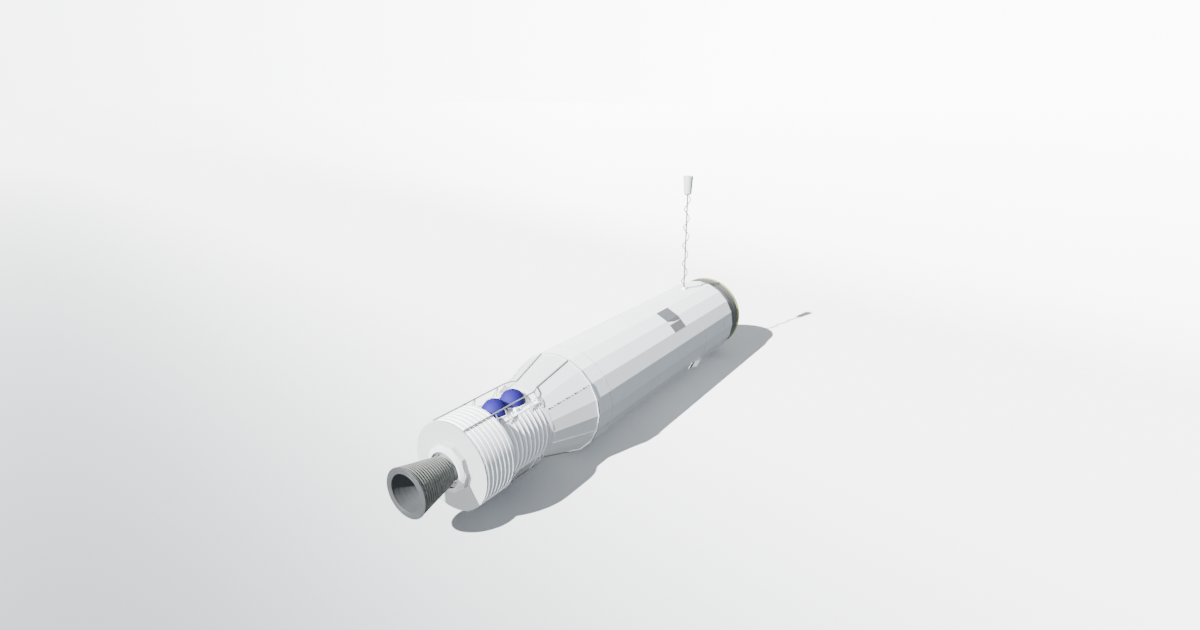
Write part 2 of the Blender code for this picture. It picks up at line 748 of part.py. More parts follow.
make_hull()
make_flare_cone()
make_waist()
make_aft_barrel()
make_rails()
make_engine()
make_boom()
make_docking_cone()
make_adapter()
make_side_fittings()
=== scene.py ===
import math

import bmesh
import bpy
from mathutils import Matrix, Vector


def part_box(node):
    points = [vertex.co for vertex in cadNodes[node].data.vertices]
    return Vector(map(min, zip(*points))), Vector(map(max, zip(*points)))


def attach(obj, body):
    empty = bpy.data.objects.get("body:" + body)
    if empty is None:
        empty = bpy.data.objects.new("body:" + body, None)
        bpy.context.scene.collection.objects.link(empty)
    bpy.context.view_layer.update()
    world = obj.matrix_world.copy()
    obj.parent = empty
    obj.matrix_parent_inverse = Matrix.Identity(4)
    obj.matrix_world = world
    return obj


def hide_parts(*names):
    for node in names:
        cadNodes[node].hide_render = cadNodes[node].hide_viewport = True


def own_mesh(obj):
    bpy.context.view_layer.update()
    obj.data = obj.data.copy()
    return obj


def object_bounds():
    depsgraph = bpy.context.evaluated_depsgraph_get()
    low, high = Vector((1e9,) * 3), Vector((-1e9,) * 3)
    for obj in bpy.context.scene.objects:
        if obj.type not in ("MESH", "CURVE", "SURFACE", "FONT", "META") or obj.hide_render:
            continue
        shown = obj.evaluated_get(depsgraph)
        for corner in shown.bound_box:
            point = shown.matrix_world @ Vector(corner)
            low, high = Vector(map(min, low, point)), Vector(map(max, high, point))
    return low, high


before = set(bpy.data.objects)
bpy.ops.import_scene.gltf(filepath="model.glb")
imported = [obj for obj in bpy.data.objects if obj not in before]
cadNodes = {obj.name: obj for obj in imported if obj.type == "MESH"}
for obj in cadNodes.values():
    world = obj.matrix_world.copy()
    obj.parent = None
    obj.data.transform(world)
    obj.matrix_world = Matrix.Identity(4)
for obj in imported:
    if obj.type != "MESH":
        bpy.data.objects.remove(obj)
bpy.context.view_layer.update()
print("frame loaded:", len(cadNodes), "nodes")


# where things are, all in metres: x runs along the craft towards the docking end, z is up
craft = {
    "hullSides": 20,
    "hullRadius": 0.762,
    "hullEnd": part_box("adapter_barrel")[1].x,
    "coneStart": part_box("flare_cone")[0].x,
    "coneStartRadius": 0.530,
    "skirtEnd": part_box("aft_skirt")[1].x,
    "tankEnd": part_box("tank_section")[1].x,
    "rackEnd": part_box("forward_rack")[1].x,
    "boomX": 4.147,
}


def onAxis(x, radius, angle):
    # a point at station x, angle degrees from the top towards starboard
    turn = math.radians(angle)
    return Vector((x, -radius * math.sin(turn), radius * math.cos(turn)))


def outwardAt(angle):
    return onAxis(0.0, 1.0, angle)


def standing(point, outward):
    # lays local x along outward, with its foot at the point
    return Matrix.Translation(point) @ Vector(outward).to_track_quat("X", "Z").to_matrix().to_4x4()


def alongHull(x, radius, angle, turn=0.0):
    # local x along the craft, local z straight out of it
    spin = Matrix.Rotation(math.radians(angle), 4, "X") @ Matrix.Rotation(math.radians(turn), 4, "Z")
    return Matrix.Translation(onAxis(x, radius, angle)) @ spin


def turnInto(bm, profile, steps=96, place=None, closed=False, phase=0.0):
    # turns a profile of (x, radius) points round local x
    rings = []
    for x, radius in profile:
        if radius < 1e-6:
            rings.append([bm.verts.new((x, 0.0, 0.0))])
            continue
        ring = [onAxis(x, radius, phase + 360.0 * i / steps) for i in range(steps)]
        rings.append([bm.verts.new(point) for point in ring])
    following = rings[1:] + ([rings[0]] if closed else [])
    for first, second in zip(rings, following):
        for i in range(steps):
            j = (i + 1) % steps
            corners = [
                first[i % len(first)], first[j % len(first)],
                second[j % len(second)], second[i % len(second)],
            ]
            corners = list(dict.fromkeys(corners))
            if len(corners) > 2:
                bm.faces.new(corners)
    if place:
        bmesh.ops.transform(bm, matrix=place, verts=[vert for ring in rings for vert in ring])


def rodInto(bm, start, end, radius, sides=12, endRadius=None):
    along = Vector(end) - Vector(start)
    endRadius = radius if endRadius is None else endRadius
    outline = [(0.0, 0.0), (0.0, radius), (along.length, endRadius), (along.length, 0.0)]
    turnInto(bm, outline, sides, standing(Vector(start), along))


def boxInto(bm, size, place, bevel=0.0, segments=2):
    shape = place @ Matrix.Diagonal((*size, 1.0))
    made = bmesh.ops.create_cube(bm, size=1.0, matrix=shape)["verts"]
    if bevel:
        edges = list({edge for vert in made for edge in vert.link_edges})
        bmesh.ops.bevel(
            bm, geom=edges, offset=bevel, segments=segments, affect="EDGES", profile=0.5,
        )


def tubeInto(bm, points, radius, sides=10):
    # a round tube along the points, whose section doesn't twist
    points = [Vector(point) for point in points]
    rings, across = [], None
    for i, point in enumerate(points):
        along = (points[min(i + 1, len(points) - 1)] - points[max(i - 1, 0)]).normalized()
        across = along.orthogonal() if across is None else across - along * across.dot(along)
        across.normalize()
        side = along.cross(across)
        ring = []
        for k in range(sides):
            turn = 2 * math.pi * k / sides
            offset = across * math.cos(turn) + side * math.sin(turn)
            ring.append(bm.verts.new(point + offset * radius))
        rings.append(ring)
    for first, second in zip(rings, rings[1:]):
        for k in range(sides):
            j = (k + 1) % sides
            bm.faces.new((first[k], first[j], second[j], second[k]))
    bm.faces.new(rings[0][::-1])
    bm.faces.new(rings[-1])


def rivetInto(bm, place, radius=0.0035, height=0.0016):
    # a low round head
    outline = [(-0.001, radius), (height * 0.45, radius), (height, radius * 0.6), (height, 0.0)]
    turnInto(bm, outline, 8, place)


def boltInto(bm, place, radius=0.006, height=0.006):
    # a washer with a six-sided head on it
    washer = [(-0.001, radius * 1.55), (0.0012, radius * 1.55), (0.0016, radius * 1.45), (0.0016, 0.0)]
    head = [(0.0, radius), (height * 0.8, radius), (height, radius * 0.82), (height, 0.0)]
    turnInto(bm, washer, 12, place)
    turnInto(bm, head, 6, place)


def settle(bm, name):
    # the finished mesh as an object, with crisp edges left crisp
    bmesh.ops.remove_doubles(bm, verts=bm.verts, dist=1e-6)
    bmesh.ops.recalc_face_normals(bm, faces=bm.faces)
    mesh = bpy.data.meshes.new(name)
    bm.to_mesh(mesh)
    bm.free()
    mesh.shade_smooth()
    mesh.set_sharp_from_angle(angle=math.radians(35))
    piece = bpy.data.objects.new(name, mesh)
    bpy.context.scene.collection.objects.link(piece)
    return piece


def carve(piece, cutterMesh):
    # cuts the second mesh out of the piece and throws the cutter away
    cutter = settle(cutterMesh, piece.name + "Cutter")
    modifier = piece.modifiers.new("carve", "BOOLEAN")
    modifier.solver = "EXACT"
    modifier.object = cutter
    graph = bpy.context.evaluated_depsgraph_get()
    mesh = bpy.data.meshes.new_from_object(piece.evaluated_get(graph))
    piece.modifiers.clear()
    piece.data = mesh
    mesh.shade_smooth()
    mesh.set_sharp_from_angle(angle=math.radians(35))
    bpy.data.objects.remove(cutter, do_unlink=True)
    return piece


def fit(piece, material, body, slotName, *replaced):
    piece.data.materials.clear()
    piece.data.materials.append(material)
    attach(piece, body)
    if replaced:
        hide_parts(*replaced)
    return piece


# shader effects that several finishes share

def newGroup(name, inputs, outputs):
    group = bpy.data.node_groups.new(name, "ShaderNodeTree")
    for label, kind, value in inputs:
        socket = group.interface.new_socket(label, in_out="INPUT", socket_type="NodeSocket" + kind)
        socket.default_value = value
    for label, kind in outputs:
        group.interface.new_socket(label, in_out="OUTPUT", socket_type="NodeSocket" + kind)
    return group, group.nodes.new("NodeGroupInput"), group.nodes.new("NodeGroupOutput")


def mathNode(tree, operation, first, second=0.0, clamp=False):
    node = tree.nodes.new("ShaderNodeMath")
    node.operation = operation
    node.use_clamp = clamp
    for place, value in zip(node.inputs, (first, second)):
        if hasattr(value, "links"):
            tree.links.new(value, place)
        else:
            place.default_value = value
    return node.outputs[0]


def spread(tree, value, low, high, newLow=0.0, newHigh=1.0):
    node = tree.nodes.new("ShaderNodeMapRange")
    tree.links.new(value, node.inputs["Value"])
    for label, number in (("From Min", low), ("From Max", high), ("To Min", newLow), ("To Max", newHigh)):
        if hasattr(number, "links"):
            tree.links.new(number, node.inputs[label])
        else:
            node.inputs[label].default_value = number
    return node.outputs["Result"]


def mixColours(tree, factor, first, second):
    node = tree.nodes.new("ShaderNodeMix")
    node.data_type = "RGBA"
    for place, value in zip((node.inputs[0], node.inputs[6], node.inputs[7]), (factor, first, second)):
        if hasattr(value, "links"):
            tree.links.new(value, place)
        else:
            place.default_value = value
    return node.outputs[2]


def noiseAt(tree, coordinates, size, detail=4.0, roughness=0.55):
    node = tree.nodes.new("ShaderNodeTexNoise")
    tree.links.new(coordinates, node.inputs["Vector"])
    if hasattr(size, "links"):
        tree.links.new(size, node.inputs["Scale"])
    else:
        node.inputs["Scale"].default_value = size
    node.inputs["Detail"].default_value = detail
    node.inputs["Roughness"].default_value = roughness
    return node.outputs["Fac"]


def makePaintMottle():
    # slow patches where paint has yellowed, thinned or been wiped
    group, given, result = newGroup(
        "paintMottle",
        [("Paint", "Color", (0.8, 0.8, 0.8, 1)), ("Stain", "Color", (0.7, 0.7, 0.7, 1)),
         ("Patches", "Float", 3.0), ("Amount", "Float", 0.5)],
        [("Colour", "Color"), ("Mask", "Float")],
    )
    place = group.nodes.new("ShaderNodeTexCoord").outputs["Object"]
    broad = noiseAt(group, place, given.outputs["Patches"], 5.0)
    fine = noiseAt(group, place, mathNode(group, "MULTIPLY", given.outputs["Patches"], 9.0), 3.0)
    both = mathNode(group, "ADD", mathNode(group, "MULTIPLY", broad, 0.7),
                    mathNode(group, "MULTIPLY", fine, 0.3))
    mask = mathNode(group, "MULTIPLY", spread(group, both, 0.38, 0.66), given.outputs["Amount"], True)
    group.links.new(mixColours(group, mask, given.outputs["Paint"], given.outputs["Stain"]),
                    result.inputs["Colour"])
    group.links.new(mask, result.inputs["Mask"])
    return group


def makeFineGrain():
    # orange peel and handling marks, as a height and a roughness
    group, given, result = newGroup(
        "fineGrain",
        [("Grain", "Float", 140.0), ("Middle", "Float", 0.5), ("Spread", "Float", 0.1)],
        [("Height", "Float"), ("Roughness", "Float")],
    )
    place = group.nodes.new("ShaderNodeTexCoord").outputs["Object"]
    fine = noiseAt(group, place, given.outputs["Grain"], 2.0)
    marks = noiseAt(group, place, mathNode(group, "MULTIPLY", given.outputs["Grain"], 0.06), 5.0, 0.65)
    swing = mathNode(group, "MULTIPLY", mathNode(group, "SUBTRACT", marks, 0.5), given.outputs["Spread"])
    group.links.new(mathNode(group, "ADD", fine, mathNode(group, "MULTIPLY", marks, 0.6)),
                    result.inputs["Height"])
    doubled = mathNode(group, "MULTIPLY", swing, 4.0)
    group.links.new(mathNode(group, "ADD", given.outputs["Middle"], doubled, True),
                    result.inputs["Roughness"])
    return group


def makeTurnedLines():
    # fine tool lines that run round the craft's axis
    group, given, result = newGroup(
        "turnedLines",
        [("Metal", "Color", (0.4, 0.4, 0.4, 1)), ("Line", "Color", (0.3, 0.3, 0.3, 1)),
         ("Lines", "Float", 160.0), ("Amount", "Float", 0.6)],
        [("Colour", "Color"), ("Height", "Float")],
    )
    place = group.nodes.new("ShaderNodeTexCoord").outputs["Object"]
    parts = group.nodes.new("ShaderNodeSeparateXYZ")
    group.links.new(place, parts.inputs[0])
    squares = [mathNode(group, "MULTIPLY", parts.outputs[i], parts.outputs[i]) for i in (1, 2)]
    radius = mathNode(group, "SQRT", mathNode(group, "ADD", *squares))
    joined = group.nodes.new("ShaderNodeCombineXYZ")
    group.links.new(parts.outputs[0], joined.inputs[0])
    group.links.new(radius, joined.inputs[1])
    lines = noiseAt(group, joined.outputs[0], given.outputs["Lines"], 2.0)
    blotch = noiseAt(group, place, 6.0, 4.0)
    both = mathNode(group, "ADD", mathNode(group, "MULTIPLY", lines, 0.65),
                    mathNode(group, "MULTIPLY", blotch, 0.35))
    mask = mathNode(group, "MULTIPLY", spread(group, both, 0.36, 0.66), given.outputs["Amount"], True)
    group.links.new(mixColours(group, mask, given.outputs["Metal"], given.outputs["Line"]),
                    result.inputs["Colour"])
    group.links.new(lines, result.inputs["Height"])
    return group


def makeEdgeWear():
    # bare or rubbed edges, found from the mesh's own sharpness
    group, given, result = newGroup(
        "edgeWear",
        [("Under", "Color", (0.4, 0.4, 0.4, 1)), ("Rubbed", "Color", (0.6, 0.6, 0.6, 1)),
         ("Amount", "Float", 0.5)],
        [("Colour", "Color"), ("Mask", "Float")],
    )
    place = group.nodes.new("ShaderNodeTexCoord").outputs["Object"]
    sharp = spread(group, group.nodes.new("ShaderNodeNewGeometry").outputs["Pointiness"], 0.505, 0.58)
    broken = spread(group, noiseAt(group, place, 34.0, 5.0, 0.7), 0.35, 0.62)
    mask = mathNode(group, "MULTIPLY", mathNode(group, "MULTIPLY", sharp, broken), given.outputs["Amount"],
                    True)
    group.links.new(mixColours(group, mask, given.outputs["Under"], given.outputs["Rubbed"]),
                    result.inputs["Colour"])
    group.links.new(mask, result.inputs["Mask"])
    return group


paintMottle = makePaintMottle()
fineGrain = makeFineGrain()
turnedLines = makeTurnedLines()
edgeWear = makeEdgeWear()


def useGroup(tree, group, **values):
    node = tree.nodes.new("ShaderNodeGroup")
    node.node_tree = group
    for label, value in values.items():
        if hasattr(value, "links"):
            tree.links.new(value, node.inputs[label])
        else:
            node.inputs[label].default_value = value
    return node


def makeFinish(name, look):
    # one finish: mottled or turned colour, rubbed edges if it has them, and a grain
    material = bpy.data.materials.new(name)
    material.use_nodes = True
    tree = material.node_tree
    shader = tree.nodes["Principled BSDF"]
    shader.inputs["Metallic"].default_value = look.get("metallic", 0.0)
    shader.inputs["Coat Weight"].default_value = look.get("coat", 0.0)
    shader.inputs["Coat Roughness"].default_value = 0.3
    shader.inputs["Specular IOR Level"].default_value = look.get("specular", 0.4)
    main, second = (*look["colour"], 1.0), (*look["second"], 1.0)
    if "lines" in look:
        colour = useGroup(tree, turnedLines, Metal=main, Line=second, Lines=look["lines"],
                          Amount=look["amount"])
        height = colour.outputs["Height"]
    else:
        colour = useGroup(tree, paintMottle, Paint=main, Stain=second, Patches=look["patches"],
                          Amount=look["amount"])
        height = None
    colour = colour.outputs["Colour"]
    if "rubbed" in look:
        worn = useGroup(tree, edgeWear, Under=colour, Rubbed=(*look["rubbed"], 1.0), Amount=look["wear"])
        colour = worn.outputs["Colour"]
    tree.links.new(colour, shader.inputs["Base Color"])
    grain = useGroup(tree, fineGrain, Grain=look["grain"], Middle=look["roughness"], Spread=look["spread"])
    tree.links.new(grain.outputs["Roughness"], shader.inputs["Roughness"])
    bump = tree.nodes.new("ShaderNodeBump")
    bump.inputs["Strength"].default_value = look["bump"]
    bump.inputs["Distance"].default_value = 0.0006
    tree.links.new(height or grain.outputs["Height"], bump.inputs["Height"])
    tree.links.new(bump.outputs["Normal"], shader.inputs["Normal"])
    return material


whiteLook = {"colour": (0.775, 0.79, 0.81), "second": (0.72, 0.735, 0.755), "patches": 1.6, "amount": 0.6,
             "roughness": 0.55, "spread": 0.10, "grain": 150.0, "bump": 0.12}
# cone finish: the white paint darkened as painted shade on the cone; on the seam bands, their joint tint
coneShadeAndSeamLook = {**whiteLook, "colour": (0.45, 0.46, 0.472), "second": (0.42, 0.43, 0.445), "patches": 2.4}
# plate finish: the white paint darkened as painted shade, for the aft plate and what sits on it
plateShadeLook = {**whiteLook, "colour": (0.29, 0.293, 0.30), "second": (0.27, 0.274, 0.282), "patches": 4.0}
# shroud finish: the white paint darkened as painted shade, for the engine shroud and the antenna cup
shroudShadeLook = {**whiteLook, "colour": (0.40, 0.405, 0.41), "second": (0.37, 0.375, 0.385), "patches": 6.0}
ringLook = {"colour": (0.125, 0.130, 0.122), "second": (0.080, 0.084, 0.080), "lines": 90.0, "amount": 0.7,
            "roughness": 0.55, "spread": 0.12, "grain": 120.0, "bump": 0.15, "metallic": 0.20}
railLook = {"colour": (0.270, 0.275, 0.280), "second": (0.200, 0.205, 0.210), "patches": 14.0, "amount": 0.7,
            "roughness": 0.50, "spread": 0.12, "grain": 260.0, "bump": 0.10, "metallic": 0.2}
mastLook = {**railLook, "colour": (0.095, 0.097, 0.100), "second": (0.065, 0.067, 0.070)}
cableLook = {**railLook, "colour": (0.045, 0.046, 0.048), "second": (0.030, 0.031, 0.033), "metallic": 0.0}
sphereLook = {"colour": (0.013, 0.008, 0.112), "second": (0.009, 0.006, 0.088), "patches": 7.0, "amount": 0.7,
              "roughness": 0.72, "spread": 0.08, "grain": 220.0, "bump": 0.10, "specular": 0.15}
# the nozzle's strong edge wear lightens the rib crests: worn edges, and painted highlight on the ribs
nozzleLook = {"colour": (0.074, 0.079, 0.073), "second": (0.044, 0.048, 0.044), "patches": 9.0, "amount": 0.8,
              "roughness": 0.68, "spread": 0.12, "grain": 200.0, "bump": 0.30, "metallic": 0.1,
              "rubbed": (0.15, 0.155, 0.145), "wear": 0.8}
lipLook = {"colour": (0.036, 0.038, 0.040), "second": (0.026, 0.028, 0.030), "lines": 140.0, "amount": 0.7,
           "roughness": 0.60, "spread": 0.12, "grain": 180.0, "bump": 0.18, "metallic": 0.2}
engineLook = {"colour": (0.34, 0.345, 0.35), "second": (0.25, 0.255, 0.26), "lines": 120.0, "amount": 0.6,
              "roughness": 0.42, "spread": 0.12, "grain": 160.0, "bump": 0.15, "metallic": 0.35}
rimLook = {"colour": (0.30, 0.34, 0.075), "second": (0.24, 0.27, 0.070), "patches": 8.0, "amount": 0.7,
           "roughness": 0.50, "spread": 0.12, "grain": 200.0, "bump": 0.15,
           "rubbed": (0.42, 0.45, 0.24), "wear": 0.5}
panelLook = {"colour": (0.110, 0.116, 0.122), "second": (0.088, 0.094, 0.100), "patches": 6.0, "amount": 0.7,
             "roughness": 0.50, "spread": 0.10, "grain": 180.0, "bump": 0.12}
spunLook = {"colour": (0.46, 0.465, 0.475), "second": (0.36, 0.365, 0.375), "lines": 200.0, "amount": 0.6,
            "roughness": 0.40, "spread": 0.14, "grain": 150.0, "bump": 0.15, "metallic": 0.75,
            "rubbed": (0.62, 0.62, 0.63), "wear": 0.5}
darkLook = {"colour": (0.055, 0.058, 0.065), "second": (0.035, 0.037, 0.042), "patches": 12.0, "amount": 0.7,
            "roughness": 0.50, "spread": 0.12, "grain": 240.0, "bump": 0.12}

whitePaint = makeFinish("whitePaint", whiteLook)
coneShadeAndSeamPaint = makeFinish("coneShadeAndSeamPaint", coneShadeAndSeamLook)
plateShadePaint = makeFinish("plateShadePaint", plateShadeLook)
shroudShadePaint = makeFinish("shroudShadePaint", shroudShadeLook)
ringMetal = makeFinish("ringMetal", ringLook)
railMetal = makeFinish("railMetal", railLook)
mastMetal = makeFinish("mastMetal", mastLook)
cableJacket = makeFinish("cableJacket", cableLook)
spherePaint = makeFinish("spherePaint", sphereLook)
nozzleSkin = makeFinish("nozzleSkin", nozzleLook)
nozzleEdge = makeFinish("nozzleEdge", lipLook)
engineMetal = makeFinish("engineMetal", engineLook)
rimPaint = makeFinish("rimPaint", rimLook)
panelPaint = makeFinish("panelPaint", panelLook)
spunMetal = makeFinish("spunMetal", spunLook)
darkPaint = makeFinish("darkPaint", darkLook)
print("finishes made")


# carried-over frame nodes and their finishes

nodeFinishes = {
    "whitePaint": ["aft_skirt", "tank_section", "forward_rack", "adapter_barrel",
                   "side_pod_starboard", "side_pod_port"],
    # the cone and its ring, the plate and the mount ring take white paint darkened as painted shade
    "coneShadeAndSeamPaint": ["flare_cone", "junction_ring"],
    "plateShadePaint": ["aft_plate"],
    "shroudShadePaint": ["engine_mount_ring"],
    "ringMetal": ["cone_frame_ring"],
    "railMetal": ["rail_top_starboard", "rail_top_port", "rail_bottom_starboard", "rail_bottom_port",
                  "damper_rod_top_starboard", "damper_rod_top_port",
                  "damper_rod_bottom_starboard", "damper_rod_bottom_port"],
    "mastMetal": ["boom_mast"],
    "engineMetal": ["gimbal_ring", "thrust_chamber"],
    "panelPaint": ["side_panel_upper", "side_panel_lower", "adapter_bulkhead", "damper_top_starboard",
                   "damper_top_port", "damper_bottom_starboard", "damper_bottom_port"],
}
for finishName, names in nodeFinishes.items():
    for nodeName in names:
        for place in cadNodes[nodeName].material_slots:
            place.material = bpy.data.materials[finishName]


# hull: rivet rows, seam bands and the cone's strips

hull = {"rivetsPerFlat": 6, "bandWidth": 0.016, "bandLift": 0.0012}


def hullRadiusAt(x):
    if x >= 0.0:
        return craft["hullRadius"]
    share = (x - craft["coneStart"]) / -craft["coneStart"]
    return craft["coneStartRadius"] + share * (craft["hullRadius"] - craft["coneStartRadius"])


def makeHullRivets():
    bm = bmesh.new()
    lean = math.atan2(craft["hullRadius"] - craft["coneStartRadius"], -craft["coneStart"])
    flatAngle = 360.0 / craft["hullSides"]
    rows = [-0.728, -0.020, 0.050, craft["skirtEnd"] - 0.022, craft["skirtEnd"] + 0.022,
            craft["tankEnd"] - 0.022, craft["tankEnd"] + 0.022, craft["rackEnd"] - 0.022,
            craft["rackEnd"] + 0.022, craft["hullEnd"] - 0.014]
    for x in rows:
        radius = hullRadiusAt(x)
        slope = lean if x < 0.0 else 0.0
        half = radius * math.sin(math.radians(flatAngle / 2))
        flat = radius * math.cos(math.radians(flatAngle / 2))
        for side in range(craft["hullSides"]):
            angle = (side + 0.5) * flatAngle
            across = outwardAt(angle + 90.0)
            outward = outwardAt(angle) * math.cos(slope) - Vector((math.sin(slope), 0, 0))
            for k in range(hull["rivetsPerFlat"]):
                share = (k + 0.5) / hull["rivetsPerFlat"] * 2 - 1
                point = onAxis(x, flat, angle) + across * half * share
                rivetInto(bm, standing(point, outward))
    fit(settle(bm, "hullRivets"), whitePaint, "vehicle", "white_paint")


def makeHullBands():
    bm = bmesh.new()
    width, lift = hull["bandWidth"] / 2, hull["bandLift"]
    for x in (craft["skirtEnd"], craft["tankEnd"], craft["rackEnd"]):
        outer = craft["hullRadius"] + lift
        outline = [(x - width, outer - 0.003), (x - width + 0.001, outer), (x + width - 0.001, outer),
                   (x + width, outer - 0.003)]
        turnInto(bm, outline, craft["hullSides"], closed=True)
    fit(settle(bm, "hullSeamBands"), coneShadeAndSeamPaint, "vehicle", "white_paint")


def makeConeTrim():
    bm = bmesh.new()
    for angle in (108.0, 252.0):          # light strips low on each side
        points = [onAxis(x, hullRadiusAt(x) + 0.002, angle) for x in (-0.735, -0.5, -0.25, -0.012)]
        tubeInto(bm, points, 0.009, 8)
    fit(settle(bm, "coneStrips"), whitePaint, "vehicle", "white_paint")
    bm = bmesh.new()
    lean = math.atan2(craft["hullRadius"] - craft["coneStartRadius"], -craft["coneStart"])
    for angle in (54.0, 306.0):           # stitched seam higher up
        outward = outwardAt(angle) * math.cos(lean) - Vector((math.sin(lean), 0, 0))
        for k in range(15):
            x = -0.725 + 0.0495 * k
            long = 0.030 if k % 3 == 0 else 0.010
            start = onAxis(x, hullRadiusAt(x), angle) + outward * 0.001
            end = onAxis(x + long, hullRadiusAt(x + long), angle) + outward * 0.001
            rodInto(bm, start, end, 0.0085, 8)
    fit(settle(bm, "coneStitching"), darkPaint, "vehicle", "rail_metal")


makeHullRivets()
makeHullBands()
makeConeTrim()
print("hull detailed")


# waist: hooped skin with flat decks, wells and the gas spheres

waist = {"start": -1.610, "end": -0.745, "radius": 0.500, "hoopHeight": 0.0075, "hoopHalf": 0.024,
         "firstHoop": -1.516, "pitch": 0.085, "hoops": 9, "deck": 0.390, "wellRadius": 0.1765,
         "sphereX": (-0.945, -1.305), "sphereHeight": 0.400, "sphereRadius": 0.175}


def makeWaist():
    bm = bmesh.new()
    radius = waist["radius"]
    outline = [(waist["start"], 0.0), (waist["start"], radius)]
    for i in range(waist["hoops"]):
        centre = waist["firstHoop"] + waist["pitch"] * i
        for k in range(11):
            across = k / 5 - 1
            rise = (1 + math.cos(math.pi * across)) / 2
            outline.append((centre + waist["hoopHalf"] * across, radius + waist["hoopHeight"] * rise))
    outline += [(waist["end"], radius), (waist["end"], 0.0)]
    turnInto(bm, outline, 96)
    piece = settle(bm, "waistSkin")
    middle = (waist["start"] + waist["end"]) / 2
    decks, wells = bmesh.new(), bmesh.new()
    for side in (1, -1):
        boxInto(decks, (1.2, 1.6, 0.4), Matrix.Translation((middle, 0, side * (waist["deck"] + 0.2))))
        for x in waist["sphereX"]:
            floor = side * (waist["sphereHeight"] - waist["sphereRadius"] - 0.0003)
            rodInto(wells, (x, 0, floor), (x, 0, side * 0.7), waist["wellRadius"], 64)
    carve(piece, decks)
    carve(piece, wells)
    fit(piece, whitePaint, "vehicle", "white_paint", "waist_section")


def makeGasSphere(nodeName, x, side):
    bm = bmesh.new()
    radius = waist["sphereRadius"]
    outline = []
    for k in range(41):
        turn = math.pi * k / 40
        bead = 0.0011 if abs(k - 20) < 1 else 0.0
        outline.append((-radius * math.cos(turn), max((radius + bead) * math.sin(turn), 0.0)))
    outline = outline[:-2]                 # the fill boss stands on the outer pole
    outline += [(radius - 0.001, 0.0165), (radius + 0.005, 0.0165), (radius + 0.007, 0.0145),
                (radius + 0.007, 0.009), (radius + 0.016, 0.009), (radius + 0.018, 0.007),
                (radius + 0.018, 0.0)]
    turnInto(bm, outline, 64, standing(Vector((x, 0, side * waist["sphereHeight"])), (0, 0, side)))
    name = "gasSphere" + "".join(word.capitalize() for word in nodeName.split("_")[2:])
    fit(settle(bm, name), spherePaint, "vehicle", "sphere_blue", nodeName)


def makeDeckFittings():
    white, metal = bmesh.new(), bmesh.new()
    for side in (1, -1):
        deck = side * waist["deck"]
        up = Vector((0, 0, side))
        for x in waist["sphereX"]:
            collar = [(0.0, 0.1775), (0.006, 0.1775), (0.008, 0.180), (0.006, 0.192), (0.0, 0.192)]
            turnInto(white, collar, 64, standing(Vector((x, 0, deck)), up), closed=True)
            for k in range(8):
                turn = math.pi * (k + 0.5) / 4
                spot = Vector((x + 0.186 * math.cos(turn), 0.186 * math.sin(turn), deck + side * 0.007))
                boltInto(metal, standing(spot, up), 0.003, 0.003)
        for y in (-0.235, 0.235):          # pressure lines along both edges of the deck
            line = [(-1.600, y, deck + side * 0.014), (-1.480, y, deck + side * 0.014),
                    (-1.440, y * 0.92, deck + side * 0.014), (-0.800, y * 0.92, deck + side * 0.014),
                    (-0.752, y, deck + side * 0.014)]
            tubeInto(metal, line, 0.006, 8)
            for x in (-1.53, -1.22, -1.04, -0.79):
                boxInto(white, (0.018, 0.030, 0.020), Matrix.Translation((x, y * 0.93, deck + side * 0.010)),
                        0.003)
        for x, y in ((-1.545, 0.0), (-1.545, 0.13), (-1.125, 0.215), (-1.125, -0.215)):
            boxInto(white, (0.060, 0.050, 0.045), Matrix.Translation((x, y, deck + side * 0.0225)), 0.005)
            rodInto(metal, (x, y, deck + side * 0.044), (x, y, deck + side * 0.058), 0.009, 12)
        for x in waist["sphereX"]:         # each sphere's own line off its fill boss
            top = side * (waist["sphereHeight"] + waist["sphereRadius"] + 0.012)
            end = -1.125 if x > -1.2 else -1.5
            arch = [(x, 0.0, top), (x, 0.030, top), (x, 0.075, top - side * 0.015)]
            arch += [(x, 0.135, top - side * 0.065), (x, 0.180, top - side * 0.130),
                     (x, 0.198, deck + side * 0.020)]
            arch.append((x + (end - x) * 0.15, 0.205, deck + side * 0.012))
            tubeInto(metal, arch, 0.0045, 8)
    fit(settle(white, "deckFittings"), whitePaint, "vehicle", "white_paint")
    fit(settle(metal, "deckPlumbing"), railMetal, "vehicle", "rail_metal")


makeWaist()
for place, side in (("top", 1), ("bottom", -1)):
    makeGasSphere(f"gas_sphere_{place}_forward", waist["sphereX"][0], side)
    makeGasSphere(f"gas_sphere_{place}_aft", waist["sphereX"][1], side)
makeDeckFittings()
print("waist and spheres made")


# aft barrel, its plate's fasteners and the rail clamps

barrel = {"start": -2.107, "end": -1.6103, "radius": 0.595, "firstGroove": -2.098, "pitch": 0.072,
          "grooves": 7, "grooveWidth": 0.018, "grooveDepth": 0.016, "wellRadius": 0.262, "wellEnd": -1.957}
rails = {"y": 0.252, "z": 0.552, "radius": 0.010}


def makeBarrel():
    bm = bmesh.new()
    radius = barrel["radius"]
    outline = [(barrel["wellEnd"], 0.0), (barrel["wellEnd"], barrel["wellRadius"]),
               (barrel["start"], barrel["wellRadius"]), (barrel["start"], radius - 0.002),
               (barrel["start"] + 0.002, radius)]
    for i in range(barrel["grooves"]):
        start = barrel["firstGroove"] + barrel["pitch"] * i
        for k in range(9):
            share = k / 8
            depth = barrel["grooveDepth"] * math.sin(math.pi * share)
            outline.append((start + barrel["grooveWidth"] * share, radius - depth))
    outline += [(barrel["end"] - 0.002, radius), (barrel["end"], radius - 0.002), (barrel["end"], 0.0)]
    turnInto(bm, outline, 128)
    fit(settle(bm, "aftBarrelSkin"), whitePaint, "vehicle", "white_paint", "aft_barrel")


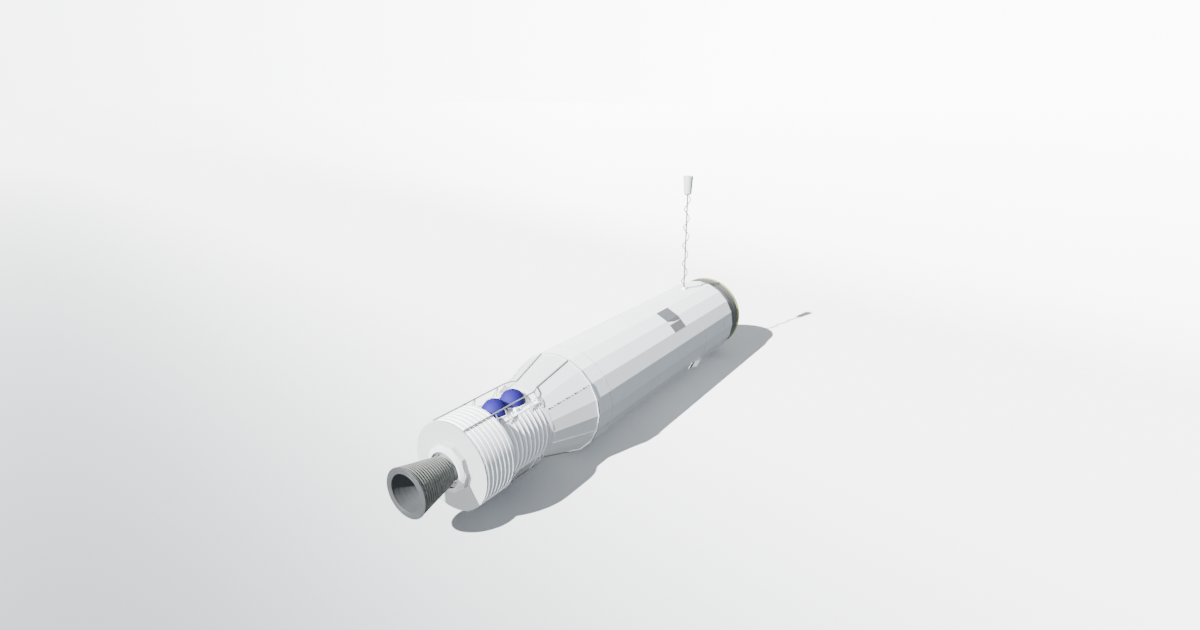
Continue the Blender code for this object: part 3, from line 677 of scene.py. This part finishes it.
def makePlateFasteners():
    bm = bmesh.new()
    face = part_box("aft_plate")[0].x
    for k in range(40):
        rivetInto(bm, standing(onAxis(face, 0.578, 9.0 * k + 4.5), (-1, 0, 0)), 0.004, 0.002)
    for k in range(24):
        boltInto(bm, standing(onAxis(face, 0.350, 15.0 * k), (-1, 0, 0)), 0.005, 0.004)
    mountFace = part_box("engine_mount_ring")[0].x
    for k in range(20):
        boltInto(bm, standing(onAxis(mountFace, 0.2925, 18.0 * k + 9.0), (-1, 0, 0)), 0.005, 0.005)
    fit(settle(bm, "plateFasteners"), plateShadePaint, "vehicle", "white_paint")


def makeRailClamps():
    bm = bmesh.new()
    angle = math.degrees(math.atan2(rails["y"], rails["z"]))
    for spin in (angle, -angle, 180.0 - angle, 180.0 + angle):
        for i in range(barrel["grooves"] - 1):
            x = barrel["firstGroove"] + barrel["pitch"] * i + 0.045
            boxInto(bm, (0.014, 0.034, 0.016), alongHull(x, barrel["radius"] + 0.007, spin), 0.002)
            for side in (-1, 1):
                foot = alongHull(x, barrel["radius"] + 0.014, spin) @ Vector((0, 0.013 * side, 0))
                rivetInto(bm, standing(foot, outwardAt(spin)), 0.003, 0.002)
    fit(settle(bm, "railClamps"), railMetal, "vehicle", "rail_metal")


def makeRailBrackets():
    # zigzag stays between each rail's bend and the front of the waist
    bm = bmesh.new()
    for mirror in (1, -1):
        for side in (1, -1):
            corners = [(-0.800, 31.0, 0.552), (-0.775, 35.0, 0.556), (-0.800, 40.0, 0.545),
                       (-0.765, 42.0, 0.548), (-0.785, 47.0, 0.535), (-0.748, 38.0, 0.556),
                       (-0.755, 31.0, 0.566)]
            points = [onAxis(x, radius, angle * mirror if side > 0 else 180.0 - angle * mirror)
                      for x, angle, radius in corners]
            for first, second in zip(points, points[1:]):
                rodInto(bm, first, second, 0.005, 8)
            for point in points:
                inward = -Vector((0, point.y, point.z)).normalized()
                rodInto(bm, point, point + inward * 0.040, 0.005, 8)
    fit(settle(bm, "railBrackets"), railMetal, "vehicle", "rail_metal")


def makeConeHeelShade():
    # a small fillet where the flared cone sits on the waist, in the plate's darker paint as painted shade
    # over the bright aft face there
    bm = bmesh.new()
    start, end, low, high = -0.790, -0.7455, waist["radius"] + 0.0005, craft["coneStartRadius"]
    outline = [(start, low), (start + 0.003, low + 0.003), (end - 0.012, high - 0.008), (end, high),
               (end, low)]
    turnInto(bm, outline, 96, closed=True)
    heel = settle(bm, "coneHeelShade")
    decks = bmesh.new()
    for side in (1, -1):
        boxInto(decks, (0.2, 1.6, 0.4), Matrix.Translation((start, 0, side * (waist["deck"] + 0.2))))
    fit(carve(heel, decks), plateShadePaint, "vehicle", "white_paint")


makeBarrel()
makeConeHeelShade()
makePlateFasteners()
makeRailClamps()
makeRailBrackets()
print("aft barrel and rails detailed")


# engine: ribbed nozzle, its lip and the shroud round the gimbal

nozzle = {"front": -2.249, "frontRadius": 0.195, "exit": -2.826, "exitRadius": 0.321, "ribs": 15,
          "ribHeight": 0.0115, "ribHalf": 0.0120,
          "hollow": ((-2.826, 0.2470), (-2.760, 0.2340), (-2.700, 0.2200), (-2.640, 0.2050), (-2.580, 0.1880),
                     (-2.520, 0.1700), (-2.460, 0.1500), (-2.420, 0.1300), (-2.380, 0.1050), (-2.355, 0.070),
                     (-2.345, 0.035), (-2.342, 0.0))}


def makeNozzle():
    bm = bmesh.new()
    length = nozzle["front"] - nozzle["exit"]
    grow = (nozzle["exitRadius"] - nozzle["frontRadius"]) / length
    outline = [(nozzle["front"], 0.0), (nozzle["front"], nozzle["frontRadius"] - 0.004)]
    for i in range(nozzle["ribs"]):
        centre = nozzle["front"] - (i + 0.5) * length / nozzle["ribs"]
        for k in range(7):
            turn = math.pi * k / 6
            x = centre + nozzle["ribHalf"] * math.cos(turn)
            skin = nozzle["frontRadius"] + (nozzle["front"] - x) * grow - 0.010
            outline.append((x, skin + nozzle["ribHeight"] * math.sin(turn)))
    outline += [(nozzle["exit"], nozzle["exitRadius"] - 0.004), *nozzle["hollow"]]
    turnInto(bm, outline, 120)
    fit(settle(bm, "nozzleSkin"), nozzleSkin, "engine", "nozzle_skin", "nozzle")
    bm = bmesh.new()
    liner = [(x, max(radius - 0.0005, 0.0)) for x, radius in nozzle["hollow"]]
    inner = []                             # the lining steps in a little at each of its bands
    for i, (x, radius) in enumerate(nozzle["hollow"][:-1]):
        inner += [(x - 0.001 * (i > 0), max(radius - 0.006, 0.0)),
                  (x - 0.004 * (i > 0), max(radius - 0.003, 0.0))]
    inner.append((nozzle["hollow"][-1][0] - 0.003, 0.0))
    turnInto(bm, liner + inner[::-1], 96)  # this shell stays open at the mouth
    fit(settle(bm, "nozzleLining"), nozzleEdge, "engine", "nozzle_edge")


def makeLip():
    bm = bmesh.new()
    back, face = -2.8263, -2.836
    outline = [(back, 0.243), (face + 0.003, 0.243), (face, 0.246), (face, 0.262), (face + 0.002, 0.264),
               (face + 0.002, 0.268), (face, 0.270), (face, 0.304), (face + 0.002, 0.306),
               (face + 0.002, 0.310),
               (face, 0.312), (face, 0.322), (face + 0.003, 0.325), (back, 0.325)]
    turnInto(bm, outline, 120, closed=True)
    fit(settle(bm, "nozzleLip"), nozzleEdge, "engine", "nozzle_edge", "nozzle_lip")


def makeShroud():
    bm = bmesh.new()
    outer = [(-2.1943, 0.305)]
    for i in range(4):                     # four stepped beads that close in on the nozzle
        x, radius = -2.199 - 0.0105 * i, 0.304 - 0.0105 * i
        outer += [(x, radius), (x - 0.003, radius + 0.003), (x - 0.0065, radius + 0.002),
                  (x - 0.008, radius - 0.004)]
    outline = [(-2.1943, 0.266), *outer, (-2.240, 0.262), (-2.240, 0.240), (-2.215, 0.258)]
    turnInto(bm, outline, 96, closed=True)
    # the shroud's finish is white paint darkened as painted shade
    fit(settle(bm, "engineShroud"), shroudShadePaint, "vehicle", "white_paint", "engine_shroud")


def makeChamberFittings():
    bm = bmesh.new()
    front = -2.2485
    for k in range(16):
        boltInto(bm, standing(onAxis(front + 0.004, 0.168, 22.5 * k), (1, 0, 0)), 0.004, 0.006)
    turnInto(bm, [(-2.2480, 0.178), (-2.2480, 0.1845), (-2.2400, 0.1845), (-2.2400, 0.178)], 96, closed=True)
    fit(settle(bm, "chamberFlange"), engineMetal, "engine", "engine_metal")


makeNozzle()
makeLip()
makeShroud()
makeChamberFittings()
print("engine made")


# boom antenna: guide, coiled cable and the cup on top

boom = {"bottom": 0.812, "top": 2.545, "turns": 5, "coil": 0.055, "wire": 0.008, "perTurn": 30,
        "travel": 1.400}


def makeBoomGuide():
    bm = bmesh.new()
    foot = Vector((craft["boomX"], 0, craft["hullRadius"] + 0.0003))
    outline = [(0.0, 0.0155), (0.0, 0.048), (0.004, 0.050), (0.007, 0.048), (0.008, 0.040), (0.026, 0.033),
               (0.029, 0.034), (0.034, 0.034), (0.0375, 0.031), (0.0377, 0.0155)]
    turnInto(bm, outline, 64, standing(foot, (0, 0, 1)), closed=True)
    for k in range(6):
        turn = math.pi * (k + 0.5) / 3
        spot = foot + Vector((0.043 * math.cos(turn), 0.043 * math.sin(turn), 0.006))
        boltInto(bm, standing(spot, (0, 0, 1)), 0.0025, 0.003)
    fit(settle(bm, "boomGuide"), whitePaint, "vehicle", "white_paint", "boom_guide")


def makeBoomCable():
    bm = bmesh.new()
    count = boom["turns"] * boom["perTurn"]
    points = []
    for i in range(count + 1):
        turn = 2 * math.pi * i / boom["perTurn"]
        reach = boom["coil"] - 0.004 * (1 - math.cos(turn * 0.37))
        height = boom["bottom"] + (boom["top"] - boom["bottom"]) * i / count
        points.append((craft["boomX"] + reach * math.cos(turn), reach * math.sin(turn), height))
    tubeInto(bm, points, boom["wire"], 10)
    cable = fit(settle(bm, "boomCable"), cableJacket, "vehicle", "rail_metal", "antenna_cable")
    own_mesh(cable)


def makeCup():
    bm = bmesh.new()
    low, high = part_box("antenna_cup")
    tall = high.z - low.z
    outline = [(0.0, 0.0), (0.0, 0.019), (0.002, 0.020), (0.031, 0.066), (0.036, 0.0705), (0.040, 0.0708),
               (0.041, 0.0695), (0.044, 0.0696), (0.045, 0.0712)]
    for share in (0.25, 0.5, 0.75):
        outline.append((0.045 + (tall - 0.077) * share, 0.0712 + 0.0185 * share))
    outline += [(tall - 0.032, 0.0898), (tall - 0.031, 0.0884), (tall - 0.028, 0.0886),
                (tall - 0.027, 0.0906),
                (tall - 0.004, 0.0920), (tall - 0.001, 0.0905), (tall, 0.088), (tall, 0.074),
                (tall - 0.002, 0.072),
                (tall - 0.002, 0.0)]
    turnInto(bm, outline, 72, standing(Vector((craft["boomX"], 0, low.z)), (0, 0, 1)))
    for k in range(8):
        turn = math.pi * k / 4
        spot = Vector((craft["boomX"] + 0.060 * math.cos(turn), 0.060 * math.sin(turn), high.z - 0.002))
        rivetInto(bm, standing(spot, (0, 0, 1)), 0.003, 0.0015)
    # the cup takes the shroud's finish, white paint darkened as painted shade
    fit(settle(bm, "antennaCup"), shroudShadePaint, "boom", "white_paint", "antenna_cup")


makeBoomGuide()
makeBoomCable()
makeCup()
print("boom antenna made")


# docking end: adapter ring, skirt, rim, cone and latches

docking = {"ringSteps": 160, "slotAngle": 22.0, "slotWidth": 0.045, "coneBack": 4.620, "throat": 0.420,
           "mouth": 0.691, "mouthX": 5.290, "wall": 0.010, "ring": (0.7285, 0.734), "skirt": (0.7160, 0.7225),
           "rim": 0.728, "notch": ((5.340, 8.5), (5.051, 1.5))}


def coneRadius(x):
    share = (x - docking["coneBack"]) / (docking["mouthX"] - docking["coneBack"])
    return docking["throat"] + share * (docking["mouth"] - docking["throat"])


def wedgeInto(bm, corners, inner, outer):
    # a wedge that spreads from the axis through (x, angle) corners
    made = [bm.verts.new(onAxis(x, radius, angle)) for x, angle in corners for radius in (inner, outer)]
    hullMade = bmesh.ops.convex_hull(bm, input=made)
    spare = [item for item in hullMade["geom_interior"] if isinstance(item, bmesh.types.BMVert)]
    bmesh.ops.delete(bm, geom=spare, context="VERTS")


def makeAdapterRing():
    bm = bmesh.new()
    low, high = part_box("adapter_ring")
    start, end = low.x, high.x
    inner, outer = docking["ring"]
    outline = [(start, inner), (start, outer), (start + 0.050, outer), (start + 0.053, outer - 0.0018),
               (start + 0.057, outer - 0.0018), (start + 0.060, outer), (end - 0.040, outer),
               (end - 0.037, outer - 0.0018), (end - 0.033, outer - 0.0018), (end - 0.030, outer),
               (end - 0.002, outer), (end, outer - 0.002), (end, inner)]
    turnInto(bm, outline, docking["ringSteps"], closed=True)
    ring = settle(bm, "adapterRing")
    half = math.degrees(docking["slotWidth"] / 2 / outer)
    corners = [(x, docking["slotAngle"] + side * half) for x in (start + 0.012, end - 0.012) for side in (-1,
                                                                                                          1)]
    cutter = bmesh.new()
    wedgeInto(cutter, corners, 0.60, 0.90)
    carve(ring, cutter)
    fit(ring, ringMetal, "vehicle", "bare_ring", "adapter_ring")
    rivets = bmesh.new()
    for x in (start + 0.020, end - 0.015):
        for k in range(80):
            angle = 4.5 * k + 2.25
            if abs(angle - docking["slotAngle"]) > 3.5:
                rivetInto(rivets, standing(onAxis(x, outer, angle), outwardAt(angle)), 0.003, 0.0016)
    fit(settle(rivets, "adapterRingRivets"), ringMetal, "vehicle", "bare_ring")


def makeSkirtAndRim():
    bm = bmesh.new()
    low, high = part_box("cone_skirt")
    inner, outer = docking["skirt"]
    outline = [(low.x, inner), (low.x, outer)]
    for x in (low.x + 0.14, low.x + 0.21):     # two rolled beads stiffen the skirt
        outline += [(x - 0.006, outer), (x - 0.003, outer + 0.0022), (x + 0.003, outer + 0.0022),
                    (x + 0.006, outer)]
    outline += [(high.x, outer), (high.x, inner)]
    turnInto(bm, outline, docking["ringSteps"], closed=True)
    fit(settle(bm, "coneSkirt"), ringMetal, "docking_collar", "bare_ring", "cone_skirt")
    bm = bmesh.new()
    low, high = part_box("cone_rim")
    start, end, outer = low.x, high.x, docking["rim"]
    inner = docking["mouth"] + docking["wall"] + 0.002
    outline = [(start, docking["skirt"][0] + 0.001), (start, outer - 0.002), (start + 0.002, outer),
               (end - 0.022, outer)]
    for k in range(1, 9):                  # a rolled front edge
        turn = math.pi * k / 9
        outline.append((end - 0.011 + 0.011 * math.sin(turn), outer - 0.0125 + 0.0125 * math.cos(turn)))
    outline += [(end - 0.004, inner), (end - 0.012, inner)]
    turnInto(bm, outline, docking["ringSteps"], closed=True)
    fit(settle(bm, "coneRim"), rimPaint, "docking_collar", "rim_green", "cone_rim")
    bm = bmesh.new()
    for k in range(48):
        angle = 7.5 * k + 3.75
        rivetInto(bm, standing(onAxis(start + 0.018, outer, angle), outwardAt(angle)), 0.0035, 0.0018)
    fit(settle(bm, "rimRivets"), rimPaint, "docking_collar", "rim_green")


def makeDockingCone():
    bm = bmesh.new()
    back, front, wall = docking["coneBack"], docking["mouthX"] - 0.004, docking["wall"]
    outline = [(back, docking["throat"] + 0.002), (back, docking["throat"] + 0.020),
               (back + 0.004, docking["throat"] + 0.022),
               (back + 0.020, coneRadius(back + 0.020) + wall), (front, coneRadius(front) + wall),
               (front, coneRadius(front))]
    for x in (5.20, 5.08, 4.96, 4.84, 4.72):   # spun seams in the bowl
        outline += [(x + 0.004, coneRadius(x + 0.004)), (x, coneRadius(x) + 0.0015),
                    (x - 0.004, coneRadius(x - 0.004))]
    outline += [(back + 0.010, coneRadius(back + 0.010))]
    turnInto(bm, outline, docking["ringSteps"], closed=True)
    cone = settle(bm, "dockingCone")
    cutter = bmesh.new()
    corners = [(x, side * angle) for x, angle in docking["notch"] for side in (-1, 1)]
    wedgeInto(cutter, corners, 0.40, 0.90)
    carve(cone, cutter)
    fit(cone, spunMetal, "docking_collar", "cone_metal", "docking_cone")
    trim = bmesh.new()
    for side in (-1, 1):                   # a rounded bead along both sides of the notch
        points = []
        for k in range(9):
            x = docking["mouthX"] - 0.011 - 0.226 * k / 8
            (wideX, wide), (tipX, tip) = docking["notch"]
            angle = side * (tip + (x - tipX) / (wideX - tipX) * (wide - tip) + 0.55)
            points.append(onAxis(x, coneRadius(x) - 0.001, angle))
        tubeInto(trim, points, 0.006, 10)
    for k in range(60):
        angle = 6.0 * k + 3.0
        if 12.0 < angle < 348.0:
            x = docking["mouthX"] - 0.029
            slope = math.atan2(docking["mouth"] - docking["throat"], docking["mouthX"] - docking["coneBack"])
            inward = -outwardAt(angle) * math.cos(slope) + Vector((math.sin(slope), 0, 0))
            rivetInto(trim, standing(onAxis(x, coneRadius(x), angle), inward), 0.004, 0.0018)
    fit(settle(trim, "coneTrim"), spunMetal, "docking_collar", "cone_metal")


latch = {"size": (0.120, 0.062, 0.034), "station": 4.840,
         "places": {"starboard": 60.0, "bottom": 180.0, "port": 300.0}}


def makeLatches():
    slope = math.atan2(docking["mouth"] - docking["throat"], docking["mouthX"] - docking["coneBack"])
    long, wide, tall = latch["size"]
    flat = coneRadius(latch["station"]) * math.cos(math.radians(5.0))
    for name, angle in latch["places"].items():
        bm = bmesh.new()
        inward = -outwardAt(angle) * math.cos(slope) + Vector((math.sin(slope), 0, 0))
        turn = Matrix.Rotation(math.radians(angle), 4, "X") @ Matrix.Rotation(-slope, 4, "Y")
        place = Matrix.Translation(onAxis(latch["station"], flat, angle) + inward * 0.001) @ turn
        place = place @ Matrix.Rotation(math.pi, 4, "X")       # local z now points into the cone
        boxInto(bm, (long, wide, 0.006), place @ Matrix.Translation((0, 0, 0.003)), 0.002)
        for side in (-1, 1):               # two cheeks carry the hook between them
            boxInto(bm, (long * 0.80, 0.008, tall - 0.008),
                    place @ Matrix.Translation((-0.006, side * 0.020, 0.004 + (tall - 0.008) / 2)), 0.003)
            for end in (-1, 1):
                spot = place @ Vector((end * 0.048, side * 0.026, 0.006))
                boltInto(bm, standing(spot, inward), 0.003, 0.003)
        pinX = -0.022
        rodInto(bm, place @ Vector((pinX, -0.027, 0.020)), place @ Vector((pinX, 0.027, 0.020)), 0.0055, 16)
        boxInto(bm, (0.066, 0.022, 0.014), place @ Matrix.Translation((0.004, 0, 0.018)), 0.004)
        boxInto(bm, (0.014, 0.022, 0.016), place @ Matrix.Translation((0.034, 0, 0.026)), 0.004)
        coil = []
        for k in range(49):
            turnBy = 2 * math.pi * k / 8
            coil.append(place @ Vector((-0.052 + 0.0006 * k, 0.006 * math.cos(turnBy),
                                        0.014 + 0.006 * math.sin(turnBy))))
        tubeInto(bm, coil, 0.0011, 6)
        fit(settle(bm, "dockingLatch" + name.capitalize()), engineMetal, "docking_collar", "grey_panel",
            "docking_latch_" + name)


makeAdapterRing()
makeSkirtAndRim()
makeDockingCone()
makeLatches()
print("docking end made")


# side fittings: screws on the two panels, the pods' windows and grilles

panels = {"start": 2.610, "end": 3.020, "lift": 0.0041, "upper": (20.5, 34.5), "lower": (43.8, 52.4)}
pod = {"angle": 117.0, "windowX": 3.220, "hoodX": 3.420}


def flatRadius(angle, radius):
    # how far out the hull's flat is in that direction
    step = 360.0 / craft["hullSides"]
    offset = (angle % step) - step / 2
    return radius * math.cos(math.radians(step / 2)) / math.cos(math.radians(offset))


def flatOutward(angle):
    step = 360.0 / craft["hullSides"]
    return outwardAt((math.floor(angle / step) + 0.5) * step)


def makePanelScrews():
    bm = bmesh.new()
    for low, high in (panels["upper"], panels["lower"]):
        for angle in (low, high):
            for k in range(7):
                x = panels["start"] + 0.020 + (panels["end"] - panels["start"] - 0.040) * k / 6
                spot = onAxis(x, flatRadius(angle, craft["hullRadius"] + panels["lift"]), angle)
                rivetInto(bm, standing(spot, flatOutward(angle)), 0.0035, 0.0016)
    fit(settle(bm, "panelScrews"), panelPaint, "vehicle", "grey_panel")


def makePodDetails():
    dark, light = bmesh.new(), bmesh.new()
    flat = craft["hullRadius"] * math.cos(math.radians(180.0 / craft["hullSides"]))
    for angle in (pod["angle"], -pod["angle"]):
        boxInto(dark, (0.128, 0.138, 0.003), alongHull(pod["windowX"], flat + 0.0138, angle), 0.001)
        for k in range(4):
            spot = alongHull(pod["windowX"] + (0.070, 0.070, -0.064, -0.064)[k] * 0.97, flat + 0.0123, angle)
            foot = spot @ Vector((0, (0.071, -0.071)[k % 2], 0))
            rivetInto(light, standing(foot, outwardAt(angle)), 0.0025, 0.0012)
        for k in range(5):
            y = -0.050 + 0.025 * k
            boxInto(light, (0.060, 0.007, 0.003),
                    alongHull(pod["hoodX"], flat + 0.0632, angle) @ Matrix.Translation((0, y, 0)), 0.001)
    fit(settle(dark, "podWindows"), darkPaint, "vehicle", "grey_panel")
    fit(settle(light, "podRibs"), whitePaint, "vehicle", "white_paint")


makePanelScrews()
makePodDetails()
print("side fittings made")


# stage: camera, a hard sun, a fill lamp that casts no shadow, and a pale floor with painted shade and a
# painted glow

stage = {"eye": (-7.121, -5.482, 4.314), "look": (0.7933, 0.5228, -0.3121), "lens": 20.0,
         "sunFrom": (-1.264, 0.309, 1.0), "sunPower": 29.0, "sunAngle": 0.7,
         "fillFrom": (-1.0, 0.0, -0.02), "fillPower": 6.3, "fillAngle": 20.0,
         "floorZ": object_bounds()[0].z - 0.016, "floorSize": 900.0, "paleReach": 1.5,
         "fadeFrom": 4.5, "fadeTo": -3.0, "glowFrom": -0.62, "glowTo": -0.05}


def makeCamera():
    data = bpy.data.cameras.new("camera")
    data.lens = stage["lens"]
    data.sensor_width = 36.0
    data.sensor_fit = "HORIZONTAL"
    data.clip_end = 2000.0
    camera = bpy.data.objects.new("camera", data)
    camera.location = stage["eye"]
    camera.rotation_euler = Vector(stage["look"]).to_track_quat("-Z", "Y").to_euler()
    bpy.context.scene.collection.objects.link(camera)
    bpy.context.scene.camera = camera


def makeSun():
    data = bpy.data.lights.new("sun", "SUN")
    data.energy = stage["sunPower"]
    data.angle = math.radians(stage["sunAngle"])
    sun = bpy.data.objects.new("sun", data)
    sun.rotation_euler = Vector(stage["sunFrom"]).to_track_quat("Z", "Y").to_euler()
    bpy.context.scene.collection.objects.link(sun)


def makeFill():
    data = bpy.data.lights.new("fill", "SUN")
    data.energy = stage["fillPower"]
    data.angle = math.radians(stage["fillAngle"])
    data.use_shadow = False
    data.color = (0.95, 0.99, 1.0)
    fill = bpy.data.objects.new("fill", data)
    fill.rotation_euler = Vector(stage["fillFrom"]).to_track_quat("Z", "Y").to_euler()
    bpy.context.scene.collection.objects.link(fill)


def makeWorld():
    world = bpy.data.worlds.new("studio")
    world.use_nodes = True
    tree = world.node_tree
    tree.nodes.clear()
    place = tree.nodes.new("ShaderNodeTexCoord").outputs["Generated"]

    def lobe(direction, power, strength):
        dot = tree.nodes.new("ShaderNodeVectorMath")
        dot.operation = "DOT_PRODUCT"
        tree.links.new(place, dot.inputs[0])
        dot.inputs[1].default_value = Vector(direction).normalized()
        lifted = mathNode(tree, "POWER", mathNode(tree, "MAXIMUM", dot.outputs["Value"], 0.0), power)
        return mathNode(tree, "MULTIPLY", lifted, strength)

    sides = mathNode(tree, "ADD", lobe((0, -0.95, 0.31), 3.0, 1.12), lobe((-1, 0.4, 0.1), 3.0, 0.18))
    sides = mathNode(tree, "ADD", sides, lobe((1, 0.25, 0.15), 4.0, 0.75))
    above = mathNode(tree, "ADD", lobe((0, 0, 1), 3.0, 0.48), 0.05)
    soft = tree.nodes.new("ShaderNodeAddShader")
    for k, (strength, colour) in enumerate(((sides, (0.86, 0.98, 1.09, 1.0)), (above, (1.0, 1.0, 1.0, 1.0)))):
        part = tree.nodes.new("ShaderNodeBackground")
        part.inputs["Color"].default_value = colour
        tree.links.new(strength, part.inputs["Strength"])
        tree.links.new(part.outputs[0], soft.inputs[k])
    dot = tree.nodes.new("ShaderNodeVectorMath")
    dot.operation = "DOT_PRODUCT"
    tree.links.new(place, dot.inputs[0])
    dot.inputs[1].default_value = (0.94, -0.342, 0.0)
    seen = tree.nodes.new("ShaderNodeBackground")
    seen.inputs["Color"].default_value = (0.985, 1.0, 1.01, 1.0)
    tree.links.new(spread(tree, dot.outputs["Value"], -0.10, 0.75, 5.6, 11.5), seen.inputs["Strength"])
    mix = tree.nodes.new("ShaderNodeMixShader")
    tree.links.new(tree.nodes.new("ShaderNodeLightPath").outputs["Is Camera Ray"], mix.inputs[0])
    tree.links.new(soft.outputs[0], mix.inputs[1])
    tree.links.new(seen.outputs[0], mix.inputs[2])
    out = tree.nodes.new("ShaderNodeOutputWorld")
    tree.links.new(mix.outputs[0], out.inputs["Surface"])
    bpy.context.scene.world = world


# floor brightness stops: the colour darkens towards one corner as painted shade, and far off it glows as
# painted light
floorShadeTones = ((0.348, 0.19), (0.400, 0.33), (0.464, 0.51), (0.531, 0.72), (0.603, 0.94), (0.700, 0.95))
floorGlowTones = ((0.730, 0.0), (0.800, 3.1), (0.870, 4.1), (0.952, 5.1), (1.0, 5.7))


def dotNode(tree, value, direction):
    node = tree.nodes.new("ShaderNodeVectorMath")
    node.operation = "DOT_PRODUCT"
    tree.links.new(value, node.inputs[0])
    node.inputs[1].default_value = direction
    return node.outputs["Value"]


def rampNode(tree, value, stops):
    # a brightness that follows the stops, turning slightly blue where it is dim
    curve = tree.nodes.new("ShaderNodeValToRGB")
    top = max(tone for _, tone in stops)
    while len(curve.color_ramp.elements) > 1:
        curve.color_ramp.elements.remove(curve.color_ramp.elements[-1])
    for i, (position, tone) in enumerate(stops):
        element = curve.color_ramp.elements[0] if i == 0 else curve.color_ramp.elements.new(position)
        element.position = position
        blue = 0.05 * (1 - tone / top)
        element.color = (tone / top * (1 - blue), tone / top, tone / top * (1 + blue), 1.0)
    tree.links.new(value, curve.inputs[0])
    scaled = tree.nodes.new("ShaderNodeVectorMath")
    scaled.operation = "SCALE"
    tree.links.new(curve.outputs["Color"], scaled.inputs[0])
    scaled.inputs["Scale"].default_value = top
    return scaled.outputs["Vector"]


def makeFloor():
    bm = bmesh.new()
    half = stage["floorSize"] / 2
    corners = [bm.verts.new((x * half, y * half, 0)) for x, y in ((-1, -1), (1, -1), (1, 1), (-1, 1))]
    bm.faces.new(corners)
    mesh = bpy.data.meshes.new("floor")
    bm.to_mesh(mesh)
    bm.free()
    floor = bpy.data.objects.new("floor", mesh)
    floor.location = (0, 0, stage["floorZ"])
    bpy.context.scene.collection.objects.link(floor)
    material = bpy.data.materials.new("paleFloor")
    material.use_nodes = True
    tree = material.node_tree
    shader = tree.nodes["Principled BSDF"]
    shader.inputs["Roughness"].default_value = 0.9
    shader.inputs["Specular IOR Level"].default_value = 0.0
    place = tree.nodes.new("ShaderNodeTexCoord").outputs["Object"]
    parts = tree.nodes.new("ShaderNodeSeparateXYZ")
    tree.links.new(place, parts.inputs[0])
    spans = []                             # distance from the corner where shade is painted in, stretched along one direction
    for shareX, shareY, shift, scale in ((0.9656, -0.26, 6.05, 0.25), (0.26, 0.9656, 38.39, 0.022)):
        total = mathNode(tree, "ADD", mathNode(tree, "MULTIPLY", parts.outputs[0], shareX),
                         mathNode(tree, "MULTIPLY", parts.outputs[1], shareY))
        total = mathNode(tree, "MULTIPLY", mathNode(tree, "ADD", total, shift), scale)
        spans.append(mathNode(tree, "MULTIPLY", total, total))
    reach = mathNode(tree, "SQRT", mathNode(tree, "ADD", *spans))
    share = mathNode(tree, "DIVIDE", reach, mathNode(tree, "ADD", reach, stage["paleReach"]))
    # fixed in the world, but the far fade and the painted glow are laid out from the main camera's place
    away = tree.nodes.new("ShaderNodeVectorMath")
    away.operation = "SUBTRACT"
    tree.links.new(place, away.inputs[0])
    away.inputs[1].default_value = (stage["eye"][0], stage["eye"][1], 0.0)
    bearing = tree.nodes.new("ShaderNodeVectorMath")
    bearing.operation = "NORMALIZE"
    tree.links.new(away.outputs[0], bearing.inputs[0])
    heading = Vector((stage["look"][0], stage["look"][1], 0.0)).normalized()
    ahead = dotNode(tree, away.outputs[0], heading)
    aside = dotNode(tree, bearing.outputs[0], heading.cross(Vector((0, 0, 1))))
    share = mathNode(tree, "MAXIMUM", share,
                     spread(tree, ahead, stage["fadeFrom"], stage["fadeTo"], 0.0, 0.7))
    tone = rampNode(tree, share, floorShadeTones)
    paintedGlow = tree.nodes.new("ShaderNodeVectorMath")
    paintedGlow.operation = "SCALE"
    tree.links.new(rampNode(tree, share, floorGlowTones), paintedGlow.inputs[0])
    tree.links.new(spread(tree, aside, stage["glowFrom"], stage["glowTo"]), paintedGlow.inputs["Scale"])
    # the base colour carries the painted shade, the emission the painted glow
    tree.links.new(tone, shader.inputs["Base Color"])
    tree.links.new(paintedGlow.outputs["Vector"], shader.inputs["Emission Color"])
    shader.inputs["Emission Strength"].default_value = 1.0
    mesh.materials.append(material)
    floor.visible_diffuse = False
    floor.visible_glossy = False


makeCamera()
makeSun()
makeFill()
makeWorld()
makeFloor()
print("stage made")
